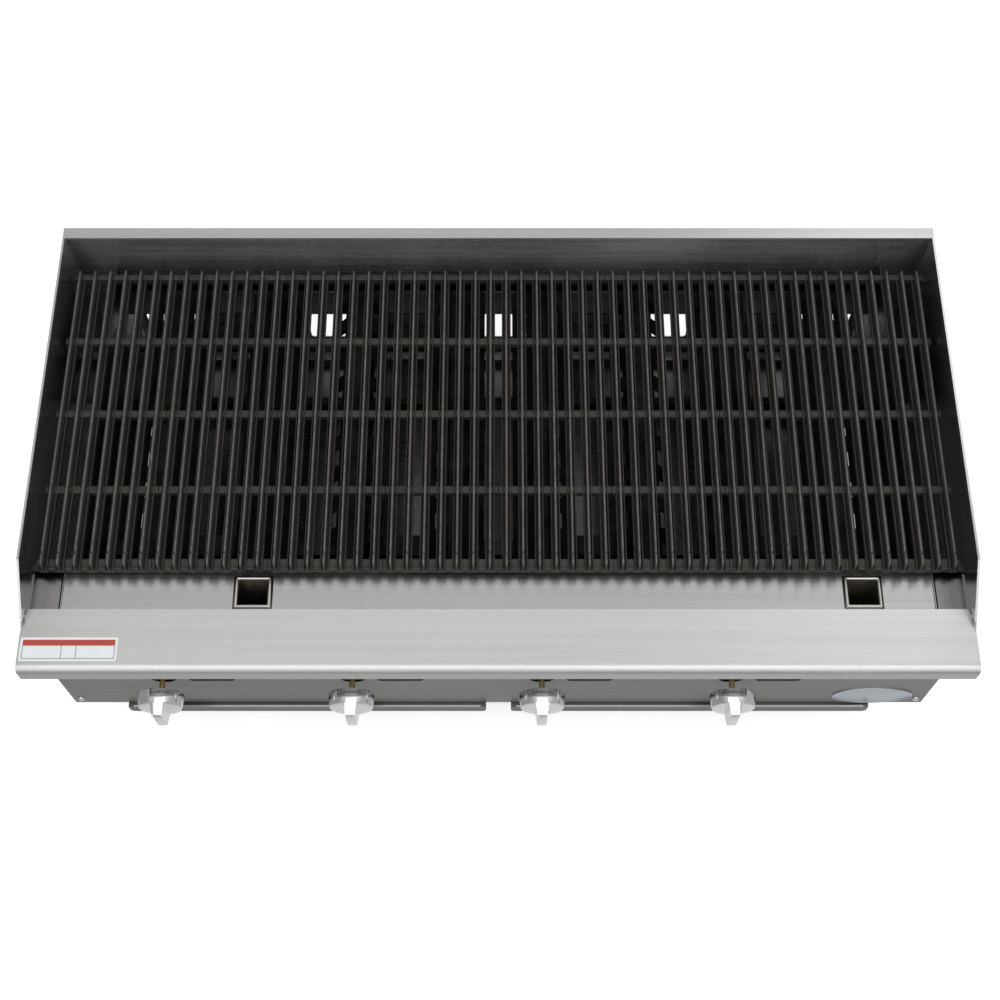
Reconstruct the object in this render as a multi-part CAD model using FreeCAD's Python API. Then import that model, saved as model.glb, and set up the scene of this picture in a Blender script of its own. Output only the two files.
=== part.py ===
"""Countertop gas charbroiler, 48 inch, four burners: one STEP file per physical piece.

Millimetres.  +X runs to the cook's right, +Y to the back wall, +Z up.  The origin is on the
worktop, under the middle of the whole machine.
"""
import FreeCAD
import Part
import math
import os

V = FreeCAD.Vector

# ---- overall -------------------------------------------------------------------------------
overall_width = 1219.0      # outer faces of the two side panels
body_depth = 635.0          # ledge nose to the back face of the rear panel
ledge_top = 391.0           # worktop to the top of the front ledge
leg_height = 100.0          # worktop to the underside of the body
splash_rise = 54.0          # side panels and back splash above the ledge
sheet = 1.5                 # stainless sheet
liner_sheet = 1.2           # aluminised inner sheet
touch_gap = 0.3             # between pieces that sit side by side and come apart
running_gap = 0.05          # radial clearance of a shaft in its hole
past = 1.0                  # how far a cutter runs beyond the face that it cuts

# ---- front: ledge, control panel, knobs ----------------------------------------------------
panel_setback = 53.0        # ledge nose to the control panel's face
ledge_depth = 84.0          # nose to the back edge of the ledge
nose_height = 30.0
nose_radius = 11.0
nose_return = 14.0          # turned-in lower edge of the nose
ledge_back_drop = 42.0
slope_run = 76.0            # sloping front edge of a side panel, measured level
hem_height = 10.0
flange_width = 22.0         # turned-in edges of the side panels
control_height = 109.0      # body underside to the knob axis
knob_gap = 24.5             # panel face to the back of a knob
knob_back_diameter = 64.0
knob_face_diameter = 59.0
knob_skirt = 19.0
knob_bevel = 1.0
knob_grip = 16.0            # how far the grip bar stands out of the skirt
knob_grip_width = 12.6      # at its outer face
knob_grip_root = 18.0       # at the skirt
knob_tip_drop = 9.0         # the grip's top end slopes down outwards by this
stem_diameter = 8.0
stem_hole_diameter = 36.0
slot_length = 64.0          # lighting slot beside each knob
slot_height = 26.0
slot_corner = 8.0
slot_offset = 66.0          # knob axis to slot centre
screw_head = 11.0
screw_head_height = 3.2
screw_dome = 2.5            # rounding of the head's edge
screw_shank = 4.8
screw_reach = 4.5           # shank behind the control panel's face
screw_inset = 11.5          # screw centre from the outer edge
screw_rise = 18.0           # and from the panel's lower edge
badge_length = 114.0
badge_height = 64.0
badge_thickness = 1.6
badge_rim = 3.0
badge_recess = 0.6          # rim's height over the blank field
badge_inset = 77.5          # badge centre from the panel's right end
badge_rise = 33.5           # badge centre above the panel's lower edge

# ---- back ----------------------------------------------------------------------------------
lip_depth = 17.0
lip_drop = 5.0
splash_gap = 11.0           # back of the machine to the face of the splash
splash_tail = 20.0          # lip's rear edge turned down inside the rear panel
splash_reach = 155.0        # splash lower edge below its top
vent_count = 5
vent_width = 92.0
vent_height = 100.0
vent_corner = 4.0
vent_rise = 56.0            # vent lower edge above the body's underside
vent_margin = 8.0           # outer vent to the firebox liner
inlet_proud = 35.0          # gas pipe beyond the rear panel
inlet_collar = 10.0         # lock collar against the rear panel
inlet_collar_radius = 20.0
pipe_clearance = 1.5        # radial, where the gas pipe passes a sheet

# ---- grates --------------------------------------------------------------------------------
grate_count = 8
bars_per_grate = 7
grate_side_gap = 5.0
grate_rise = 12.0           # rib tops above the ledge
grate_height = 24.0
grate_front_gap = 139.5     # ledge nose to the front end of the grates
grate_back_gap = 30.0       # back end of the grates to the splash face
bar_width = 12.6
gutter_floor = 7.0
gutter_lip = 11.0
gutter_wall = 2.2
rib_width = 3.0
rib_notch = 4.0
rib_notch_depth = 6.0
rib_chamfer = 3.0
rib_setback = 1.0           # rib's front end behind the casting's front face
gutter_start = 8.0          # gutter's front end behind the casting's front face
end_bar_front = 16.5
end_bar_back = 6.5
cross_bar = 11.0
cross_bar_count = 3
cross_first = 115.5         # front end of a grate to its first cross bar
cross_last = 110.0          # last cross bar to the back end
slot_round = 2.5            # fillet of the casting in a slot's corners
rail_thickness = 3.0
rail_front_width = 10.0
rail_back_seat = 6.0        # how far a grate's back end lies on the rear rail
rail_back_lap = 2.0         # and how far its shelf goes on behind the grates
rail_back_leg = 30.0

# ---- grease trough and chutes --------------------------------------------------------------
trough_drop = 26.0          # ledge top to the trough plate's face
trough_side_gap = 40.0      # end of the trough plate to the side panel's inner face
trough_flange_gap = 4.5
trough_upstand = 8.0
baffle_setback = 10.5       # grate front end to the firebox front wall
chute_width = 52.0
chute_depth = 48.0
chute_wall = 1.5
chute_rim = 5.5             # rim plate beyond the tube's bore
chute_rim_height = 4.0
chute_corner = 2.0
chute_left_from_valve = 142.5
chute_right_from_end = 91.5
chute_end_gap = 1.5         # chute's lower end above the drip tray's rim level

# ---- firebox, burners, radiants ------------------------------------------------------------
liner_gap = 60.0            # side panel inner face to the firebox liner
liner_margin = 25.0         # liner to the first burner's module
liner_top_gap = 1.0
burner_count = 4
neighbour_spacing = 120.0   # between the nearest legs of two burners
burner_leg = 36.0           # a burner leg is square in section
burner_wall = 4.0
burner_corner = 5.0
burner_front_gap = 16.0     # firebox front wall to the burner legs
burner_back_gap = 42.0      # burner legs to the splash face
burner_bridge = 30.0
bridge_inset = 4.0          # bridge's faces inside the legs' upper and lower faces
bridge_setback = 40.0       # first bridge behind the burner's front end
port_ridge = 10.0
port_ridge_height = 4.0
port_ridge_inset = 8.0
port_first = 20.0
port_pitch = 14.0
port_width = 2.0
venturi_radius = 19.0
venturi_wall = 3.0
venturi_proud = 26.0        # mouth of the venturi ahead of the firebox front wall
venturi_overlap = 24.0
venturi_clearance = 1.0
shutter_wall = 2.45         # collar's wall over its running fit on the venturi
shutter_thickness = 2.0
shutter_tab = 8.0           # width of the thumb tab
shutter_tab_height = 3.0
shutter_tab_proud = 6.0
shutter_collar = 9.0        # collar's grip on the venturi
shutter_window = 12.2       # air window's middle to the axis
shutter_window_width = 4.6
shutter_window_height = 15.0
radiant_gap = 39.0          # grate seat to the radiant's ridge
radiant_height = 40.0
radiant_width = 80.0
radiant_wall = 4.0
radiant_ridge = 14.0
radiant_rail_gap = 2.0      # radiant's back end and its rail to the rear grate rail
radiant_slots = 9
radiant_slot_margin = 20.0
radiant_slot_length = 26.0
radiant_slot_width = 7.0
burner_drop = 18.0          # radiant's lower edge to the burner's top
support_width = 22.0
support_thickness = 3.0
support_gap = 6.0           # support bar to the end of what it carries

# ---- gas train -----------------------------------------------------------------------------
pipe_radius = 13.335        # three-quarter inch pipe
pipe_bore = 10.5
manifold_drop = 38.0        # knob axis to the manifold's axis
manifold_setback = 27.0     # control panel's face to the manifold's axis
manifold_end = 40.0         # manifold's plugged end to the side panel's inner face
fitting_wall = 2.2          # wall of the end cap and the elbow over the pipe
cap_length = 28.0
cap_floor = 10.0
valve_radius = 12.0
valve_front = 14.0          # control panel's face to the valve's nose
valve_length = 34.0
valve_tail = 8.0
valve_tap = 3.0             # radius of the gas hole in the manifold
hood_radius = 8.0
hood_clearance = 1.0
stem_engagement = 10.0      # stem inside the knob
stem_seat = 20.0            # stem inside the valve
pilot_tube = 3.0
pilot_tip = 5.5
pilot_tip_length = 16.0
pilot_tip_rise = 2.0        # tip's end above the burner's top
pilot_tip_gap = 14.0        # burner's front end to the tip's axis
pilot_bend = 14.0
pilot_level = 4.0           # pilot tube's axis above the knob axis
pilot_valve = 7.0
pilot_screw = 3.0
pilot_screw_proud = 4.0
pilot_from_valve = 34.0     # pilot valve beside its burner valve

# ---- base, trays, legs ---------------------------------------------------------------------
base_rail_height = 22.0
base_rail_setback = 20.0    # panel's inner face to the front base rail
base_rail_width = 70.0
base_rail_sheet = 2.0
saddle_width = 18.0
tray_gap = 36.0             # between the two drip trays
tray_liner_gap = 14.0       # tray outer edge inside the liner's line
tray_height = 22.0
tray_sheet = 1.2
tray_top_gap = 2.0          # tray rim below the body's underside
tray_lip_proud = 6.0        # tray handle lip ahead of the control panel
tray_lip_height = 21.0
tray_lip_corner = 7.0
tray_back_gap = 22.0
runner_sheet = 2.0
runner_shelf = 14.0
runner_side_gap = 2.0
leg_radius = 22.0
leg_inset_x = 41.0          # side panel's outer face to the leg's axis
leg_inset_y = 64.0          # control panel's face, or rear panel, to the leg's axis
leg_plate = 56.0
leg_plate_thickness = 4.0
leg_plate_corner = 6.0
foot_radius = 19.0
foot_height = 30.0
foot_stud_radius = 8.0
foot_stud_length = 45.0
foot_shoulder_gap = 0.5
foot_chamfer = 3.0

# ---- levels and lines worked out from the sizes above --------------------------------------
knob_proud = knob_gap + knob_skirt + knob_grip - panel_setback
nose_y = knob_proud - (body_depth + knob_proud + inlet_proud) / 2
back_y = nose_y + body_depth
panel_y = nose_y + panel_setback
side_front_y = panel_y + sheet
ledge_back_y = nose_y + ledge_depth
splash_y = back_y - splash_gap
grate_front_y = nose_y + grate_front_gap
grate_back_y = splash_y - grate_back_gap
baffle_y = grate_front_y + baffle_setback
half_width = overall_width / 2
inner_half = half_width - sheet
liner_half = inner_half - liner_gap
splash_top = ledge_top + splash_rise
grate_top = ledge_top + grate_rise
grate_seat = grate_top - grate_height
trough_top = ledge_top - trough_drop
trough_half = inner_half - trough_side_gap
knob_z = leg_height + control_height
radiant_top = grate_seat - radiant_gap
radiant_base = radiant_top - radiant_height
burner_top = radiant_base - burner_drop
burner_base = burner_top - burner_leg
burner_front_y = baffle_y + sheet + burner_front_gap
burner_back_y = splash_y - burner_back_gap
burner_pitch = 2 * (liner_half - liner_margin) / burner_count
leg_spacing = burner_pitch - neighbour_spacing
manifold_y = panel_y + manifold_setback
manifold_z = knob_z - manifold_drop
feed_x = inner_half - liner_gap / 2
tray_rim = leg_height - tray_top_gap
tray_floor = tray_rim - tray_height
base_rail_y = side_front_y + base_rail_setback
grate_pitch = 2 * (inner_half - grate_side_gap) / grate_count
shutter_radius = venturi_radius + running_gap + shutter_wall
radiant_back_y = splash_y - rail_thickness - radiant_rail_gap


# ---- small makers --------------------------------------------------------------------------
def block(x0, x1, y0, y1, z0, z1):
    """Box between two corners."""
    return Part.makeBox(x1 - x0, y1 - y0, z1 - z0, V(x0, y0, z0))


def rod(radius, start, end):
    """Round bar from one point to another."""
    path = end - start
    return Part.makeCylinder(radius, path.Length, start, path)


def along_x(outline, x0, x1):
    """Solid of a closed (y, z) outline carried from x0 to x1."""
    face = Part.Face(Part.makePolygon([V(x0, y, z) for y, z in outline + outline[:1]]))
    return face.extrude(V(x1 - x0, 0, 0))


def along_y(outline, y0, y1):
    """Solid of a closed (x, z) outline carried from y0 to y1."""
    face = Part.Face(Part.makePolygon([V(x, y0, z) for x, z in outline + outline[:1]]))
    return face.extrude(V(0, y1 - y0, 0))


def joined(pieces):
    """One solid of several that overlap or touch."""
    whole = pieces[0].multiFuse(pieces[1:])
    return whole.removeSplitter()


def rounded(solid, radius, wanted):
    """Fillet the edges that the test picks."""
    return solid.makeFillet(radius, [edge for edge in solid.Edges if wanted(edge)])


def runs_along(edge, axis):
    """True for a straight edge that lies along an axis (0, 1 or 2)."""
    if len(edge.Vertexes) != 2:
        return False
    step = edge.Vertexes[1].Point - edge.Vertexes[0].Point
    return abs(abs(step[axis]) - edge.Length) < 1e-6


def mirrored(shape):
    """The same piece for the other side of the machine."""
    return shape.mirror(V(0, 0, 0), V(1, 0, 0))


def module_x(index):
    """Middle of a burner's module."""
    return (index - (burner_count - 1) / 2) * burner_pitch


def valve_x(index):
    """Valve, knob and venturi stand in line with the burner's left leg."""
    return module_x(index) - leg_spacing / 2


def chute_places():
    """The two grease chutes: past the first valve, and near the trough's right end."""
    return [valve_x(0) + chute_left_from_valve, trough_half - chute_right_from_end]


def chute_middle_y():
    """The chutes stand in the middle of the open trough."""
    return (ledge_back_y + baffle_y) / 2


def leg_places():
    """The four legs' axes."""
    x = half_width - leg_inset_x
    front = panel_y + leg_inset_y
    back = back_y - leg_inset_y
    return [(-x, front), (x, front), (-x, back), (x, back)]


# ---- casing --------------------------------------------------------------------------------
def side_panel():
    """Right side panel: sloped front top edge, turned-in front and lower edges, hemmed top."""
    kink_y = side_front_y + slope_run
    lip_y = back_y - lip_depth
    top = splash_top
    outline = [(side_front_y, leg_height), (side_front_y, ledge_top), (kink_y, top), (lip_y, top),
               (lip_y, top - sheet), (back_y, top - sheet), (back_y, leg_height)]
    wall = along_x(outline, inner_half, half_width)
    hem_outline = [(side_front_y + hem_height, ledge_top + hem_height * splash_rise / slope_run),
                   (kink_y, top), (lip_y - touch_gap, top), (lip_y - touch_gap, top - hem_height),
                   (kink_y, top - hem_height), (side_front_y + 2 * hem_height, ledge_top)]
    hem = along_x(hem_outline, inner_half - sheet, inner_half)
    front = block(half_width - flange_width, half_width, side_front_y, side_front_y + sheet,
                  leg_height, ledge_top - nose_height)
    foot = block(half_width - flange_width, half_width, side_front_y, back_y - sheet,
                 leg_height, leg_height + sheet)
    panel = joined([wall, hem, front, foot])
    x, z = screw_places()[1]
    return panel.cut(rod(screw_shank / 2, V(x, side_front_y - past, z), V(x, side_front_y + 2 * sheet, z)))


def back_splash():
    """Splash sheet with its folded top lip, which runs over both side panels."""
    lip_y = back_y - lip_depth
    top = splash_top
    lip = block(-half_width, half_width, lip_y, back_y, top - sheet, top)
    drop = block(-inner_half, inner_half, lip_y, lip_y + sheet, top - lip_drop, top)
    face = block(-inner_half, inner_half, splash_y, splash_y + sheet, top - splash_reach, top)
    tail = block(-inner_half, inner_half, back_y - 2 * sheet, back_y - sheet,
                 top - splash_tail, top)
    return joined([lip, drop, face, tail])


def pipe_hole(sheet_y):
    """Cutter for the gas pipe's way through a sheet."""
    return rod(pipe_radius + pipe_clearance, V(feed_x, sheet_y - past, manifold_z),
               V(feed_x, sheet_y + sheet + past, manifold_z))


def rear_panel():
    """Rear sheet with air windows, a lower flange and the gas pipe's hole."""
    wall = block(-inner_half, inner_half, back_y - sheet, back_y, leg_height, splash_top - sheet)
    flange = block(-inner_half + flange_width, inner_half - flange_width,
                   back_y - flange_width, back_y, leg_height, leg_height + sheet)
    panel = joined([wall, flange])
    span = 2 * (liner_half - vent_margin) - vent_width
    cuts = []
    for index in range(vent_count):
        x = (index / (vent_count - 1) - 0.5) * span
        window = block(x - vent_width / 2, x + vent_width / 2, back_y - 2 * sheet, back_y + past,
                       leg_height + vent_rise, leg_height + vent_rise + vent_height)
        cuts.append(rounded(window, vent_corner, lambda edge: runs_along(edge, 1)))
    cuts.append(pipe_hole(back_y - sheet))
    return panel.cut(cuts)


def is_nose_edge(edge):
    """True for the upper front edge of the ledge, outside or inside its sheet."""
    middle = edge.CenterOfMass
    return runs_along(edge, 0) and middle.y < nose_y + 2 * sheet and middle.z > ledge_top - 2 * sheet


def front_ledge():
    """Bullnose ledge: folded sheet with closed ends ahead of the side panels."""
    low = ledge_top - nose_height
    body = block(-half_width, half_width, nose_y, ledge_back_y, low, ledge_top)
    body = rounded(body, nose_radius, is_nose_edge)
    inside = block(-half_width + sheet, half_width - sheet, nose_y + sheet, ledge_back_y - sheet,
                   low - past, ledge_top - sheet)
    inside = rounded(inside, nose_radius - sheet, is_nose_edge)
    beside = [block(x0, x1, panel_y, ledge_back_y + past, low - past, ledge_top + past)
              for x0, x1 in ((-half_width - past, -inner_half), (inner_half, half_width + past))]
    shell = body.cut([inside] + beside)
    back = block(-inner_half, inner_half, ledge_back_y - sheet, ledge_back_y,
                 ledge_top - ledge_back_drop, ledge_top)
    turned = block(-half_width, half_width, nose_y, nose_y + nose_return, low, low + sheet)
    return joined([shell, back, turned])


def control_panel():
    """Flat front panel with stem holes, lighting slots and screw holes."""
    panel = block(-half_width, half_width, panel_y, side_front_y, leg_height, ledge_top - sheet)
    cuts = []
    for index in range(burner_count):
        x = valve_x(index)
        cuts.append(rod(stem_hole_diameter / 2, V(x, panel_y - past, knob_z),
                        V(x, side_front_y + past, knob_z)))
        middle = x + slot_offset
        slot = block(middle - slot_length / 2, middle + slot_length / 2, panel_y - past,
                     side_front_y + past, knob_z - slot_height / 2, knob_z + slot_height / 2)
        cuts.append(rounded(slot, slot_corner, lambda edge: runs_along(edge, 1)))
    for x, z in screw_places():
        cuts.append(rod(screw_shank / 2, V(x, panel_y - past, z), V(x, side_front_y + past, z)))
    return panel.cut(cuts)


def screw_places():
    """The screws at the control panel's lower corners."""
    x = half_width - screw_inset
    z = leg_height + screw_rise
    return [(-x, z), (x, z)]


def panel_screws():
    """Two pan-head screws: domed heads with plain shanks."""
    screws = []
    for x, z in screw_places():
        shank = rod(screw_shank / 2 - running_gap, V(x, panel_y, z), V(x, panel_y + screw_reach, z))
        head = rod(screw_head / 2, V(x, panel_y, z), V(x, panel_y - screw_head_height, z))
        outer = [edge for edge in head.Edges if edge.CenterOfMass.y < panel_y - screw_head_height / 2
                 and len(edge.Vertexes) == 1]
        head = head.makeFillet(screw_dome, outer)
        screws.append(head.fuse(shank).removeSplitter())
    return Part.makeCompound(screws)


def badge_plate():
    """Blank oval plate with a raised rim."""
    x = half_width - badge_inset
    z = leg_height + badge_rise

    def oval(long_radius, short_radius, y0, depth):
        curve = Part.Ellipse(V(0, 0, 0), long_radius, short_radius).toShape()
        face = Part.Face(Part.Wire([curve]))
        face.rotate(V(0, 0, 0), V(1, 0, 0), 90)
        face.translate(V(x, y0, z))
        return face.extrude(V(0, -depth, 0))

    plate = oval(badge_length / 2, badge_height / 2, panel_y, badge_thickness)
    hollow = oval(badge_length / 2 - badge_rim, badge_height / 2 - badge_rim,
                  panel_y - badge_thickness + badge_recess, badge_thickness)
    return plate.cut(hollow)


# ---- grates --------------------------------------------------------------------------------
def slot_cutter(x, y0, y1):
    """Round-cornered opening between two bars."""
    gap = grate_pitch / bars_per_grate - bar_width
    cutter = block(x - gap / 2, x + gap / 2, y0, y1, grate_seat - past, grate_top)
    return rounded(cutter, slot_round, lambda edge: runs_along(edge, 2))


def searing_rib(x):
    """Thin upright rib on a bar, with a notch near the front and chamfered ends."""
    notch_y = grate_front_y + end_bar_front
    notch_low = grate_top - rib_notch_depth
    low = grate_seat + gutter_floor - past
    front = grate_front_y + rib_setback
    outline = [(front, low), (front, grate_top - rib_chamfer),
               (front + rib_chamfer, grate_top), (notch_y - rib_chamfer, grate_top),
               (notch_y, notch_low), (notch_y + rib_notch, notch_low),
               (notch_y + rib_notch + rib_chamfer, grate_top), (grate_back_y - rib_chamfer, grate_top),
               (grate_back_y, grate_top - rib_chamfer), (grate_back_y, low)]
    return along_x(outline, x - rib_width / 2, x + rib_width / 2)


def opening_rows():
    """Front and back limits of each row of openings between the end bars and cross bars."""
    first = grate_front_y + cross_first
    last = grate_back_y - cross_last
    step = (last - first) / (cross_bar_count - 1)
    crosses = [first + step * index for index in range(cross_bar_count)]
    lows = [grate_front_y + end_bar_front] + [y + cross_bar / 2 for y in crosses]
    highs = [y - cross_bar / 2 for y in crosses] + [grate_back_y - end_bar_back]
    return list(zip(lows, highs))


def grate():
    """The first grate: a slotted casting whose bars carry grease gutters and searing ribs."""
    left = -grate_count / 2 * grate_pitch
    right = left + grate_pitch
    bar_pitch = grate_pitch / bars_per_grate
    casting = block(left + touch_gap / 2, right - touch_gap / 2, grate_front_y, grate_back_y,
                    grate_seat, grate_seat + gutter_lip)
    casting = rounded(casting, slot_round, lambda edge: runs_along(edge, 2))
    cutters = []
    for low, high in opening_rows():
        cutters.extend(slot_cutter(left + bar_pitch * k, low, high) for k in range(bars_per_grate + 1))
    middles = [left + bar_pitch * (k + 0.5) for k in range(bars_per_grate)]
    gutter = bar_width / 2 - gutter_wall
    for x in middles:
        cutters.append(block(x - gutter, x + gutter, grate_front_y + gutter_start, grate_back_y - past,
                             grate_seat + gutter_floor, grate_top))
    casting = casting.cut(cutters)
    return joined([casting] + [searing_rib(x) for x in middles])


def grate_rail_front():
    """Angle that carries the grates' front ends, over the firebox front wall."""
    shelf = block(-inner_half, inner_half, baffle_y + sheet - rail_front_width, baffle_y + sheet,
                  grate_seat - rail_thickness, grate_seat)
    leg = block(-inner_half, inner_half, baffle_y - rail_thickness + sheet, baffle_y + sheet,
                trough_top, grate_seat)
    return joined([shelf, leg])


def grate_rail_rear():
    """Narrow angle between the side panels that carries the grates' back ends; its leg drops
    between the liners, and the gap behind it is open as far as the splash."""
    front = grate_back_y - rail_back_seat
    back = grate_back_y + rail_back_lap
    leg_half = liner_half - liner_top_gap
    shelf = block(-inner_half, inner_half, front, back, grate_seat - rail_thickness, grate_seat)
    leg = block(-leg_half, leg_half, back - rail_thickness, back,
                grate_seat - rail_back_leg, grate_seat)
    return joined([shelf, leg])


# ---- grease trough -------------------------------------------------------------------------
def grease_trough():
    """Trough plate between the ledge and the grates: strips welded round the two chute openings."""
    y = chute_middle_y()
    behind = baffle_y + sheet
    low = y - chute_depth / 2 + chute_rim
    high = y + chute_depth / 2 - chute_rim
    half = chute_width / 2 - chute_rim
    left, right = chute_places()
    strips = [(-trough_half, trough_half, ledge_back_y, low), (-trough_half, trough_half, high, behind),
              (-trough_half, left - half, low, high), (left + half, right - half, low, high),
              (right + half, trough_half, low, high)]
    return Part.makeCompound([block(x0, x1, y0, y1, trough_top - sheet, trough_top)
                              for x0, x1, y0, y1 in strips])


def trough_flanges():
    """Strips that close the trough's ends against the side panels."""
    outer = inner_half
    inner = trough_half + trough_flange_gap
    strip = block(inner, outer, ledge_back_y, baffle_y - rail_thickness, trough_top - sheet, trough_top)
    turned = block(outer - sheet, outer, ledge_back_y, baffle_y - rail_thickness,
                   trough_top - sheet, trough_top + trough_upstand)
    right = joined([strip, turned])
    return Part.makeCompound([right, mirrored(right)])


def drain_chutes():
    """Two square chutes with a raised rim; they lead the grease down to the drip trays."""
    y = chute_middle_y()
    bore_x = chute_width / 2 - chute_rim
    bore_y = chute_depth / 2 - chute_rim
    low = tray_rim + chute_end_gap
    chutes = []
    for x in chute_places():
        tube = block(x - bore_x, x + bore_x, y - bore_y, y + bore_y, low, trough_top + chute_rim_height)
        rim = block(x - chute_width / 2, x + chute_width / 2, y - chute_depth / 2, y + chute_depth / 2,
                    trough_top, trough_top + chute_rim_height)
        rim = rounded(rim, chute_corner, lambda edge: runs_along(edge, 2))
        bore = block(x - bore_x + chute_wall, x + bore_x - chute_wall,
                     y - bore_y + chute_wall, y + bore_y - chute_wall,
                     low - past, trough_top + chute_rim_height + past)
        chutes.append(joined([tube, rim]).cut(bore))
    return Part.makeCompound(chutes)


# ---- firebox -------------------------------------------------------------------------------
def firebox_liner():
    """Right inner wall of the firebox."""
    return block(liner_half, liner_half + liner_sheet, baffle_y + sheet, splash_y - rail_thickness,
                 leg_height + base_rail_height, grate_seat - rail_thickness - liner_top_gap)


def heat_baffle():
    """Firebox front wall, with a hole for each venturi and a lighting window for each pilot."""
    wall = block(-inner_half, inner_half, baffle_y, baffle_y + sheet,
                 leg_height + base_rail_height, trough_top - sheet)
    cuts = []
    for index in range(burner_count):
        x = valve_x(index)
        cuts.append(rod(venturi_radius + venturi_clearance, V(x, baffle_y - past, knob_z),
                        V(x, baffle_y + sheet + past, knob_z)))
        middle = x + slot_offset
        cuts.append(block(middle - slot_length / 2, middle + slot_length / 2,
                          baffle_y - past, baffle_y + sheet + past,
                          knob_z - slot_height / 2, burner_top))
    return wall.cut(cuts + [pipe_hole(baffle_y)])


def cross_supports(top):
    """Front and rear angle bars across the firebox with their upper faces at one level."""
    bars = []
    front_y = burner_front_y + 2 * venturi_overlap + support_gap
    rear_y = burner_back_y - support_gap - support_width
    for y, side in ((front_y, 1), (rear_y, -1)):
        shelf = block(-liner_half, liner_half, y, y + support_width, top - support_thickness, top)
        web_y = y if side > 0 else y + support_width - support_thickness
        web = block(-liner_half, liner_half, web_y, web_y + support_thickness,
                    top - support_width, top)
        bars.append(joined([shelf, web]))
    return bars


def burner_supports():
    """Bars under the burner legs."""
    return Part.makeCompound(cross_supports(burner_base))


def radiant_rails():
    """Slim bars under the ends of the radiants, ahead of and behind the burner legs."""
    front = block(-liner_half, liner_half, baffle_y + sheet, burner_front_y - radiant_rail_gap,
                  radiant_base - support_thickness, radiant_base)
    rear = block(-liner_half, liner_half, burner_back_y + 2 * radiant_rail_gap, radiant_back_y,
                 radiant_base - support_thickness, radiant_base)
    return Part.makeCompound([front, rear])


def burner(index):
    """Cast burner: two ported legs, two bridges, and the venturi under the left leg."""
    half = leg_spacing / 2
    x = module_x(index)
    solids = []
    voids = []
    for leg in (x - half, x + half):
        body = block(leg - burner_leg / 2, leg + burner_leg / 2, burner_front_y, burner_back_y,
                     burner_base, burner_top)
        solids.append(rounded(body, burner_corner, lambda edge: runs_along(edge, 1)))
        solids.append(block(leg - port_ridge / 2, leg + port_ridge / 2,
                            burner_front_y + port_ridge_inset, burner_back_y - port_ridge_inset,
                            burner_top - past, burner_top + port_ridge_height))
        voids.append(block(leg - burner_leg / 2 + burner_wall, leg + burner_leg / 2 - burner_wall,
                           burner_front_y + burner_wall, burner_back_y - burner_wall,
                           burner_base + burner_wall, burner_top - burner_wall))
        count = int((burner_back_y - burner_front_y - 1.5 * port_first) / port_pitch)
        for port in range(count):
            y = burner_front_y + port_first + port * port_pitch
            voids.append(block(leg - port_ridge, leg + port_ridge, y, y + port_width,
                               burner_top + past, burner_top + port_ridge_height + past))
    for y in (burner_front_y + bridge_setback, burner_back_y - burner_bridge):
        solids.append(block(x - half, x + half, y, y + burner_bridge,
                            burner_base + bridge_inset, burner_top - bridge_inset))
    left = x - half
    mouth = baffle_y - venturi_proud
    reach = burner_front_y + venturi_overlap
    solids.append(rod(venturi_radius, V(left, mouth, knob_z), V(left, reach, knob_z)))
    riser_low = min(knob_z - venturi_radius, burner_base)
    solids.append(block(left - burner_leg / 2, left + burner_leg / 2, burner_front_y,
                        reach + venturi_overlap, riser_low, max(knob_z, burner_base + burner_wall)))
    casting = joined(solids)
    voids.append(rod(venturi_radius - venturi_wall, V(left, mouth + venturi_wall, knob_z),
                     V(left, reach, knob_z)))
    voids.extend(air_windows(left, mouth - past, mouth + venturi_wall + past))
    voids.append(block(left - burner_leg / 2 + burner_wall, left + burner_leg / 2 - burner_wall,
                       burner_front_y + burner_wall, reach + venturi_overlap - burner_wall,
                       riser_low + burner_wall, burner_base + 2 * burner_wall))
    return casting.cut(voids)


def air_windows(x, y0, y1):
    """Cutters for a centre hole round the orifice hood and an air window at each side of it."""
    cutters = [rod(hood_radius + hood_clearance, V(x, y0, knob_z), V(x, y1, knob_z))]
    for side in (-1, 1):
        middle = x + side * shutter_window
        cutters.append(block(middle - shutter_window_width / 2, middle + shutter_window_width / 2, y0, y1,
                             knob_z - shutter_window_height / 2, knob_z + shutter_window_height / 2))
    return cutters


def air_shutter(index):
    """Cap that turns on the venturi's mouth: windowed plate, collar and a thumb tab."""
    x = valve_x(index)
    mouth = baffle_y - venturi_proud
    back = mouth - touch_gap
    front = back - shutter_thickness
    plate = rod(shutter_radius, V(x, front, knob_z), V(x, back, knob_z))
    collar = rod(shutter_radius, V(x, back, knob_z), V(x, mouth + shutter_collar, knob_z))
    bore = rod(venturi_radius + running_gap, V(x, back, knob_z),
               V(x, mouth + shutter_collar + past, knob_z))
    tab = block(x - shutter_tab / 2, x + shutter_tab / 2, front - shutter_tab_proud, front + past,
                knob_z + shutter_radius - shutter_tab_height, knob_z + shutter_radius)
    return joined([plate, collar.cut(bore), tab]).cut(air_windows(x, front - past, back + past))


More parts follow.
